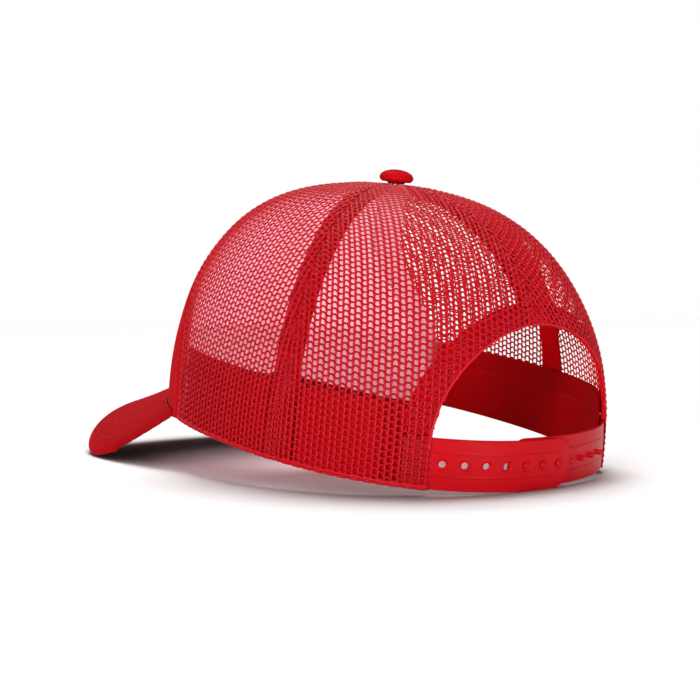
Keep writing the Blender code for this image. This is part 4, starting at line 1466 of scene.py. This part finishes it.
# ---------------------------------------------------------------- carried-over pieces
def dress_hidden_pieces():
    """CAD pieces that stay: the button's metal."""
    for node in ("button_shell_and_shank", "button_back_washer"):
        shown = frame["nodes"][node]
        shown.data.materials.clear()
        shown.data.materials.append(STEEL)


# ---------------------------------------------------------------- floor, light and camera
CAMERA_PLACE = Vector((0.3612, 0.4046, 0.1146))     # in the cap's own frame
CAMERA_BACK = Vector((0.6384, 0.7555, 0.1469))
CAMERA_RIGHT = Vector((-0.7693, 0.6322, 0.0919))
CAMERA_LENS = 65.17


def build_camera():
    back = CAMERA_BACK.normalized()
    right = (CAMERA_RIGHT - CAMERA_RIGHT.dot(back) * back).normalized()
    up = back.cross(right)
    turn = Matrix((right, up, back)).transposed().to_4x4()
    data = bpy.data.cameras.new("view_of_the_back")
    data.lens = CAMERA_LENS
    data.sensor_width = 36.0
    data.clip_start = 0.01
    camera = bpy.data.objects.new("view_of_the_back", data)
    bpy.context.scene.collection.objects.link(camera)
    camera.matrix_world = REST @ Matrix.Translation(CAMERA_PLACE) @ turn
    bpy.context.scene.camera = camera


def build_floor():
    bm = bmesh.new()
    bmesh.ops.create_circle(bm, cap_ends=True, segments=96, radius=30.0)
    floor = tool_object("floor", bm)
    floor.data.materials.append(floor_finish())


def area_light(name, place, target, size, power):
    data = bpy.data.lights.new(name, "AREA")
    data.shape = "DISK"
    data.size = size
    data.energy = power
    light = bpy.data.objects.new(name, data)
    bpy.context.scene.collection.objects.link(light)
    way = Vector(place) - Vector(target)
    turn = way.to_track_quat("Z", "Y").to_matrix().to_4x4()
    light.matrix_world = Matrix.Translation(place) @ turn


def build_light():
    """White behind, dim all round; a broad light above, two low at the back, one faint inside."""
    world = bpy.data.worlds.new("white_room")
    world.use_nodes = True
    tree = world.node_tree
    ground = tree.nodes["Background"]
    ground.inputs["Color"].default_value = (1.0, 1.0, 1.0, 1.0)
    rays = tree.nodes.new("ShaderNodeLightPath")
    level = tree.nodes.new("ShaderNodeMapRange")
    level.inputs["To Min"].default_value = 0.15
    level.inputs["To Max"].default_value = 1.0
    tree.links.new(rays.outputs["Is Camera Ray"], level.inputs[0])
    tree.links.new(level.outputs[0], ground.inputs["Strength"])
    bpy.context.scene.world = world
    sun = bpy.data.lights.new("overhead", "SUN")
    sun.energy = 3.2
    sun.angle = math.radians(36.0)
    above = bpy.data.objects.new("overhead", sun)
    bpy.context.scene.collection.objects.link(above)
    above.matrix_world = Vector((-0.25, -0.35, 1.0)).to_track_quat("Z", "Y").to_matrix().to_4x4()
    middle = (0.0, 0.02, 0.06)
    area_light("back_left", (1.9, 1.0, 0.22), middle, 0.4, 29.0)
    area_light("back_right", (0.1, 2.1, 0.21), middle, 0.4, 16.0)
    area_light("inside_glow", (0.0, 0.045, 0.062), (0.0, -0.06, 0.075), 0.05, 0.07)
    bpy.data.objects["inside_glow"].visible_camera = False
    bpy.context.scene.view_settings.view_transform = "Standard"


build_net()
build_front_panel()
build_front_backing()
build_tapes()
build_arch_binding()
build_sweatband()
build_visor()
build_stitches()
build_button()
build_hole_strap()
build_peg_strap()
dress_hidden_pieces()
build_camera()
build_floor()
build_light()
